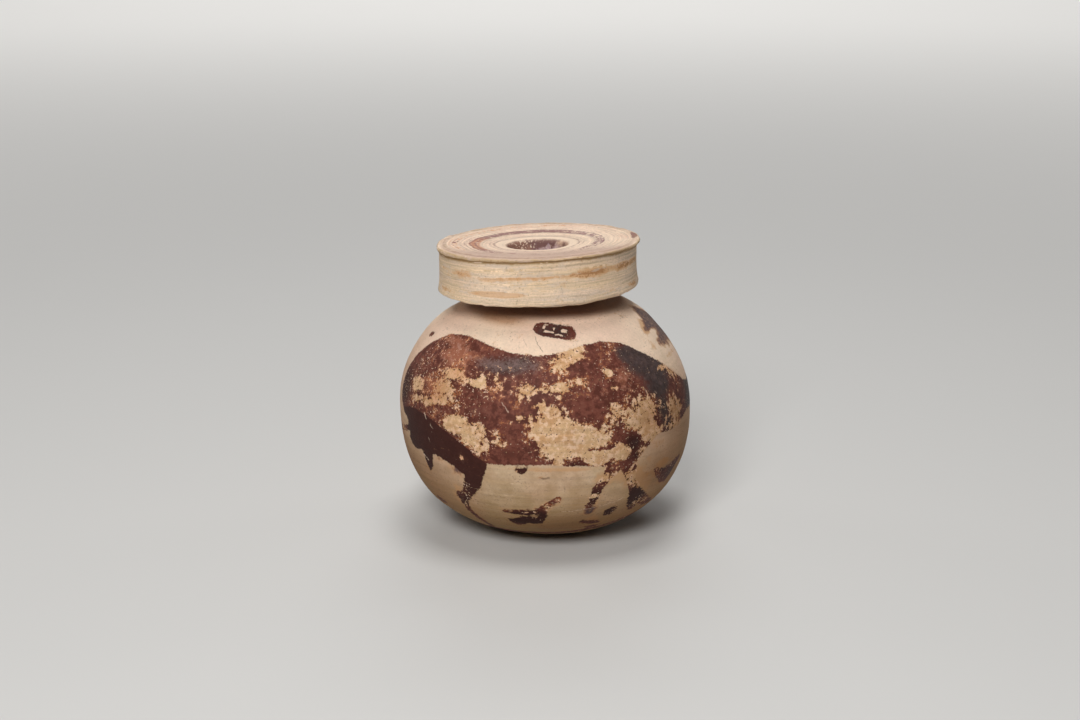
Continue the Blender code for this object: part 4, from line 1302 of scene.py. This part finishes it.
    def band_the_mouth(self, skin):
        """The painted bands on the disc's top, worn through towards the front."""
        colours, x, y = self.colours, self.x, self.y
        skin.lay(self.on_top * self.blotch.ramp_up(0.40, 0.60) * 0.5, colours.clay_white)
        skin.shade(self.on_top * self.stir(comb=0.7, wheel=0.4, mottle=0.4, crumble=0.4) + 1)
        blush = (0.3 + self.mottle + self.blotch.swing).clamped()
        skin.lay(self.on_top * y.ramp_up(-5.0, -13.0) * blush * 0.70, colours.blush)
        left = x.ramp_up(-9.0, -14.0) * y.maths("ABSOLUTE").ramp_up(9.0, 4.0)
        right = x.ramp_up(3.0, 11.0)
        wash = Coat(self, colours.purple)
        wash.lay(left * 0.6, colours.rust)
        wash.lay(right * self.shards.ramp_up(0.44, 0.56) * 0.55, colours.lilac)
        kinds = {"wash": wash.colour, "rust": colours.rust, "pale": colours.clay_white,
                 "line": colours.purple}
        sway = self.noise(self.at, 0.09, 2.0)
        ring = self.stir(self.ring, blotch=0.045) + sway.swing * 0.09
        worn_front = y.ramp_up(-6.0, -13.0) * 0.28 + right * 0.12
        for inner, outer, softness, (kind, strength), wear in MOUTH_BANDS:
            hold = (1.0 - wear + self.rub - worn_front).ramp_up(0.36, 0.60)
            skin.lay(band(ring, inner, outer, softness) * hold * strength, kinds[kind])

    def line_the_funnel(self, skin):
        """The brown slip in the mouth's funnel, chalky and nicked, and the stains round the rim."""
        colours, x = self.colours, self.x
        lump = self.noise(self.vector_maths("MULTIPLY", self.at, (1.0, 1.0, 0.6)), 0.55, 3.0, 0.6)
        lining = Coat(self, colours.funnel_dark)
        lining.lay((x + lump.swing * 14).ramp_up(1.0, 5.5), colours.funnel_tan)
        lining.lay((x + lump.swing * 10).ramp_up(-2.0, -4.5) * 0.7, colours.funnel)
        chalky = band(x + lump.swing * 8, -1.5, 3.8, 1.0) * self.z.ramp_up(62.2, 60.8)
        lining.lay(chalky * lump.ramp_up(0.46, 0.58) * 0.6, colours.lilac)
        nicks = (self.crumble + lump.swing * 0.5).ramp_up(0.56, 0.62)
        lining.lay(nicks * (0.3 + x.ramp_up(-1.0, -4.0)).clamped() * 0.8, colours.clay_white)
        throat = self.stir(self.ring, mottle=0.02).ramp_up(0.325, 0.290)
        skin.lay(throat * 0.95, lining.colour)
        stained = (self.attribute("stain") + self.rub * 0.6).ramp_up(0.40, 0.60)
        skin.lay(stained * 0.85, colours.purple)

    def dirty_and_shade_the_lip(self, skin):
        """Dirt rubbed into the lip, an ochre line in the groove under it that is partly dirt and
        partly painted shade, and the slip left round its inner edge.
        """
        colours, lip, drift = self.colours, self.below_rim, self.drift.swing
        grime = self.stir(0.62 + drift * 1.6, mottle=0.8).ramp_up(0.25, 0.70)
        skin.lay(band(lip + drift * 0.6, 0.12, 1.7, 0.25) * grime * 0.85, colours.ochre_pale)
        # The dark ochre line in the groove under the lip: partly dirt, partly painted shade
        held = self.stir(0.74 + drift * 1.8, mottle=0.9).ramp_up(0.34, 0.62)
        skin.lay(band(lip + drift * 0.7, 1.22, 2.00, 0.22) * held * 0.90, colours.ochre)
        nibbled = self.stir(self.crumble, drift=0.6, mottle=0.3).ramp_up(0.62, 0.70)
        skin.lay(band(lip, 0.3, 2.3, 0.3) * nibbled * 0.65, colours.rust_brown)
        inner_edge = band(self.stir(self.ring, mottle=0.03), 0.925, 0.972, 0.012)
        skin.lay(inner_edge * (0.55 + self.rub).ramp_up(0.30, 0.60) * 0.35, colours.veil_brown)

    def streak_the_wall(self, skin):
        """Rust-coloured and golden streaks, threads and bleached patches on the disc's wall."""
        colours, comb = self.colours, self.comb
        rust = self.stir(self.attribute("rust"), mottle=1.1, comb=0.9, drift=0.6)
        skin.lay(rust.ramp_up(0.25, 0.65) * 0.72, colours.golden)
        skin.lay(self.stir(rust, crumble=2.4).ramp_up(0.72, 1.10) * 0.70, colours.rust_brown)
        threads = self.on_wall * self.stir(comb, wheel=0.4).ramp_up(0.58, 0.66)
        skin.lay(threads * self.mottle.ramp_up(0.40, 0.55) * 0.40, colours.ochre)
        bleached = (self.stir(drift=1.0, blotch=0.8) + 0.5).ramp_up(0.54, 0.66)
        skin.lay(self.on_wall * bleached * 0.5, colours.wall_grey)
        gilded = self.stir(self.attribute("gilt"), mottle=0.4, comb=0.5).ramp_up(0.45, 0.70)
        skin.lay(gilded * 0.55, colours.golden)

    def hairline(self, start, end, half_width, strength):
        """A hair-thin line between two places on the ball."""
        first, second = ball_point(*start), ball_point(*end)
        across = (first - BALL_MIDDLE).cross(second - BALL_MIDDLE).normalized()
        away = self.vector_maths("SUBTRACT", self.at, tuple((first + second) / 2))
        gap = self.vector_maths("DOT_PRODUCT", away, tuple(across), output="Value")
        reach = self.vector_maths("LENGTH", away, output="Value")
        half_length = (first - second).length / 2
        waver = self.noise(self.at, 0.7, 2.0).swing
        line = (gap + waver * 1.2).maths("ABSOLUTE").ramp_up(half_width, half_width * 0.3)
        line = line * (reach + waver * half_length).ramp_up(half_length, half_length * 0.7)
        return line * strength

    def scratch(self, skin):
        """Pale scratches, broken where the tool skipped, and dark hair lines."""
        lines = [self.hairline(*scratch) for scratch in SCRATCHES]
        self.scored = functools.reduce(Wire.maximum, lines)
        broken = (self.shards * 0.5 + self.crumble * 0.5).ramp_up(0.40, 0.52)
        skin.lay(self.scored * (self.mottle + 0.4).clamped() * broken, self.colours.speck)
        for hair in HAIR_LINES:
            skin.lay(self.hairline(*hair) * (self.mottle + 0.4), self.colours.dark)

    def mark_the_oblong(self, skin):
        """Short plain bare strokes in the dark oblong on the shoulder."""
        first, last = [ball_point(turn, share) for turn, share, _ in OBLONG]
        middle = (first + last) / 2
        along = (last - first).normalized()
        upward = (middle - BALL_MIDDLE).normalized().cross(along)
        away = self.vector_maths("SUBTRACT", self.at, tuple(middle))
        jitter = self.stir(mottle=0.9, crumble=0.7)
        u = self.vector_maths("DOT_PRODUCT", away, tuple(along), output="Value") + jitter
        v = self.vector_maths("DOT_PRODUCT", away, tuple(upward), output="Value") + jitter
        marks = [band(u, along_it - half_along, along_it + half_along, 0.10)
                 * band(v, up_it - half_up, up_it + half_up, 0.10)
                 for along_it, up_it, half_along, half_up in OBLONG_MARKS]
        skin.lay(functools.reduce(Wire.maximum, marks) * self.inside * 0.95, self.colours.clay)

    def finish(self, skin):
        """The gloss and the fine relief, and the shader itself."""
        slipped = self.inside * (1 - self.flaked)
        roughness = self.stir(0.82 - slipped * 0.20 - slipped * self.black * 0.06, crumble=0.12)
        relief = self.stir(slipped * 0.035, wheel=0.10, comb=0.055, mottle=0.06, grain=0.03)
        relief = relief - self.pits * 0.05 - self.scored * 0.04
        relief = relief + (self.on_top + self.on_wall) * self.stir(crumble=0.12, comb=0.08)
        bump = self.node("ShaderNodeBump", None,
                         {"Strength": 0.8, "Distance": MM, "Height": relief})
        shader = self.node("ShaderNodeBsdfPrincipled", None,
                           {"Base Color": skin.colour, "Roughness": roughness, "Normal": bump,
                            "Specular IOR Level": 0.15})
        self.node("ShaderNodeOutputMaterial", None, {"Surface": shader})


def clay_material(colours):
    """Lays the clay, its slips, their wear, the dirt and the painted shade, one over the other."""
    material = bpy.data.materials.new("painted clay")
    bench = PaintedClay(emptied_tree(material), colours)
    skin = bench.throw_the_clay()
    bench.place_the_slip()
    bench.wash_the_clay(skin)
    skin.lay(bench.inside, bench.mix(bench.flaked, bench.fired_slip(), bench.bare_clay()))
    # Darkened patches: mostly painted shade under the disc, low on the body and round its sides,
    # partly dirt
    toned = (bench.attribute("toned") * (0.6 + bench.blotch * 0.8)).clamped()
    skin.tint(toned, colours.toned)
    bench.band_the_mouth(skin)
    bench.line_the_funnel(skin)
    bench.dirty_and_shade_the_lip(skin)
    bench.streak_the_wall(skin)
    bench.scratch(skin)
    bench.mark_the_oblong(skin)
    bench.finish(skin)
    return material


def floor_material(stage):
    """A plain floor, which glows a little far from the flask, where the lights don't reach."""
    material = bpy.data.materials.new("floor")
    bench = Bench(emptied_tree(material))
    at = bench.node("ShaderNodeTexCoord", output="Object")
    far = bench.vector_maths("LENGTH", at, output="Value").ramp_up(0.25, 1.1)
    shader = bench.node("ShaderNodeBsdfPrincipled", None,
                        {"Base Color": opaque(stage.floor_colour),
                         "Roughness": bench.noise(at, 40.0, 3.0).swing * 0.1 + 0.6,
                         "Emission Color": bench.mix(far, (0.0, 0.0, 0.0), stage.floor_colour),
                         "Emission Strength": stage.far_glow})
    bench.node("ShaderNodeOutputMaterial", None, {"Surface": shader})
    return material


class ARYBALLOS_OT_build_flask(bpy.types.Operator):
    """Turn the flask, lute its handle on, weather it and lay its picture"""

    bl_idname = "aryballos.build_flask"
    bl_label = "Flask"
    bl_options = {"REGISTER", "UNDO"}

    def execute(self, context):
        sizes = context.scene.aryballos_sizes
        material = clay_material(context.scene.aryballos_colours)
        mesh = lute(turn_the_clay(sizes, material), strap_mesh(sizes, material))
        unworn = soften_luting(mesh, point_positions(mesh))
        worn = weather(mesh, unworn)
        mesh.vertices.foreach_set("co", worn.ravel())
        mesh.update()
        lay_the_picture(mesh, worn)
        lay_the_bands(mesh, unworn)
        mesh.shade_smooth()
        mesh.materials.clear()
        mesh.materials.append(material)
        flask = new_object("flask", mesh)
        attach(flask, "root")
        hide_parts("aryballos")
        return {"FINISHED"}


def look_at(place, target):
    """A matrix that stands at the place and faces the target."""
    turn = (target - place).to_track_quat("-Z", "Y")
    return Matrix.Translation(place) @ turn.to_matrix().to_4x4()


def lay_floor(stage):
    corners = [(-FLOOR_HALF, -FLOOR_HALF, 0), (FLOOR_HALF, -FLOOR_HALF, 0),
               (FLOOR_HALF, FLOOR_HALF, 0), (-FLOOR_HALF, FLOOR_HALF, 0)]
    mesh = bpy.data.meshes.new("floor")
    mesh.from_pydata(corners, [], [(0, 1, 2, 3)])
    mesh.materials.append(floor_material(stage))
    new_object("floor", mesh)


def set_lights(stage):
    flask_middle = Vector((0.0, 0.0, FRAME_BOX[1].z / 2))
    for name, place, width, power_name in LIGHTS:
        lamp = bpy.data.lights.new(name, "AREA")
        lamp.shape = "SQUARE"
        lamp.size = width
        lamp.energy = getattr(stage, power_name)
        aim = FAR_AIM if name == "far light" else flask_middle
        new_object(name, lamp).matrix_world = look_at(Vector(place), aim)


def light_all_round(stage):
    world = bpy.data.worlds.new("studio")
    bench = Bench(emptied_tree(world))
    sky = bench.node("ShaderNodeBackground", None, {"Color": SKY_COLOUR, "Strength": stage.sky})
    bench.node("ShaderNodeOutputWorld", None, {"Surface": sky})
    bpy.context.scene.world = world


def set_camera():
    lens = bpy.data.cameras.new("camera")
    lens.sensor_width = CAMERA_SENSOR
    lens.lens = CAMERA_LENS
    lens.clip_start = CAMERA_NEAR
    camera = new_object("camera", lens)
    camera.matrix_world = Matrix.Translation(CAMERA_PLACE) @ CAMERA_TURN.to_matrix().to_4x4()
    bpy.context.scene.camera = camera
    bpy.context.scene.view_settings.view_transform = "Standard"


class ARYBALLOS_OT_build_stage(bpy.types.Operator):
    """Lay the floor and set the lights and the camera"""

    bl_idname = "aryballos.build_stage"
    bl_label = "Stage"
    bl_options = {"REGISTER", "UNDO"}

    def execute(self, context):
        stage = context.scene.aryballos_stage
        lay_floor(stage)
        set_lights(stage)
        light_all_round(stage)
        set_camera()
        return {"FINISHED"}


class ARYBALLOS_PT_panel(bpy.types.Panel):
    """The flask's sizes, its colours and its stage"""

    bl_label = "Aryballos"
    bl_idname = "ARYBALLOS_PT_panel"
    bl_space_type = "VIEW_3D"
    bl_region_type = "UI"
    bl_category = "Aryballos"

    def draw(self, context):
        scene = context.scene
        for operator, groups in (
                ("aryballos.build_flask", (scene.aryballos_sizes, scene.aryballos_colours)),
                ("aryballos.build_stage", (scene.aryballos_stage,))):
            box = self.layout.box()
            box.operator(operator)
            for group in groups:
                for name in group.__annotations__:
                    box.prop(group, name)


CLASSES = (AryballosSizes, AryballosColours, AryballosStage, ARYBALLOS_OT_build_flask,
           ARYBALLOS_OT_build_stage, ARYBALLOS_PT_panel)


def register():
    for made in CLASSES:
        bpy.utils.register_class(made)
    bpy.types.Scene.aryballos_sizes = PointerProperty(type=AryballosSizes)
    bpy.types.Scene.aryballos_colours = PointerProperty(type=AryballosColours)
    bpy.types.Scene.aryballos_stage = PointerProperty(type=AryballosStage)


def unregister():
    del bpy.types.Scene.aryballos_stage
    del bpy.types.Scene.aryballos_colours
    del bpy.types.Scene.aryballos_sizes
    for made in reversed(CLASSES):
        bpy.utils.unregister_class(made)


def main():
    register()
    bpy.ops.aryballos.build_flask()
    bpy.ops.aryballos.build_stage()


if __name__ == "__main__":
    main()
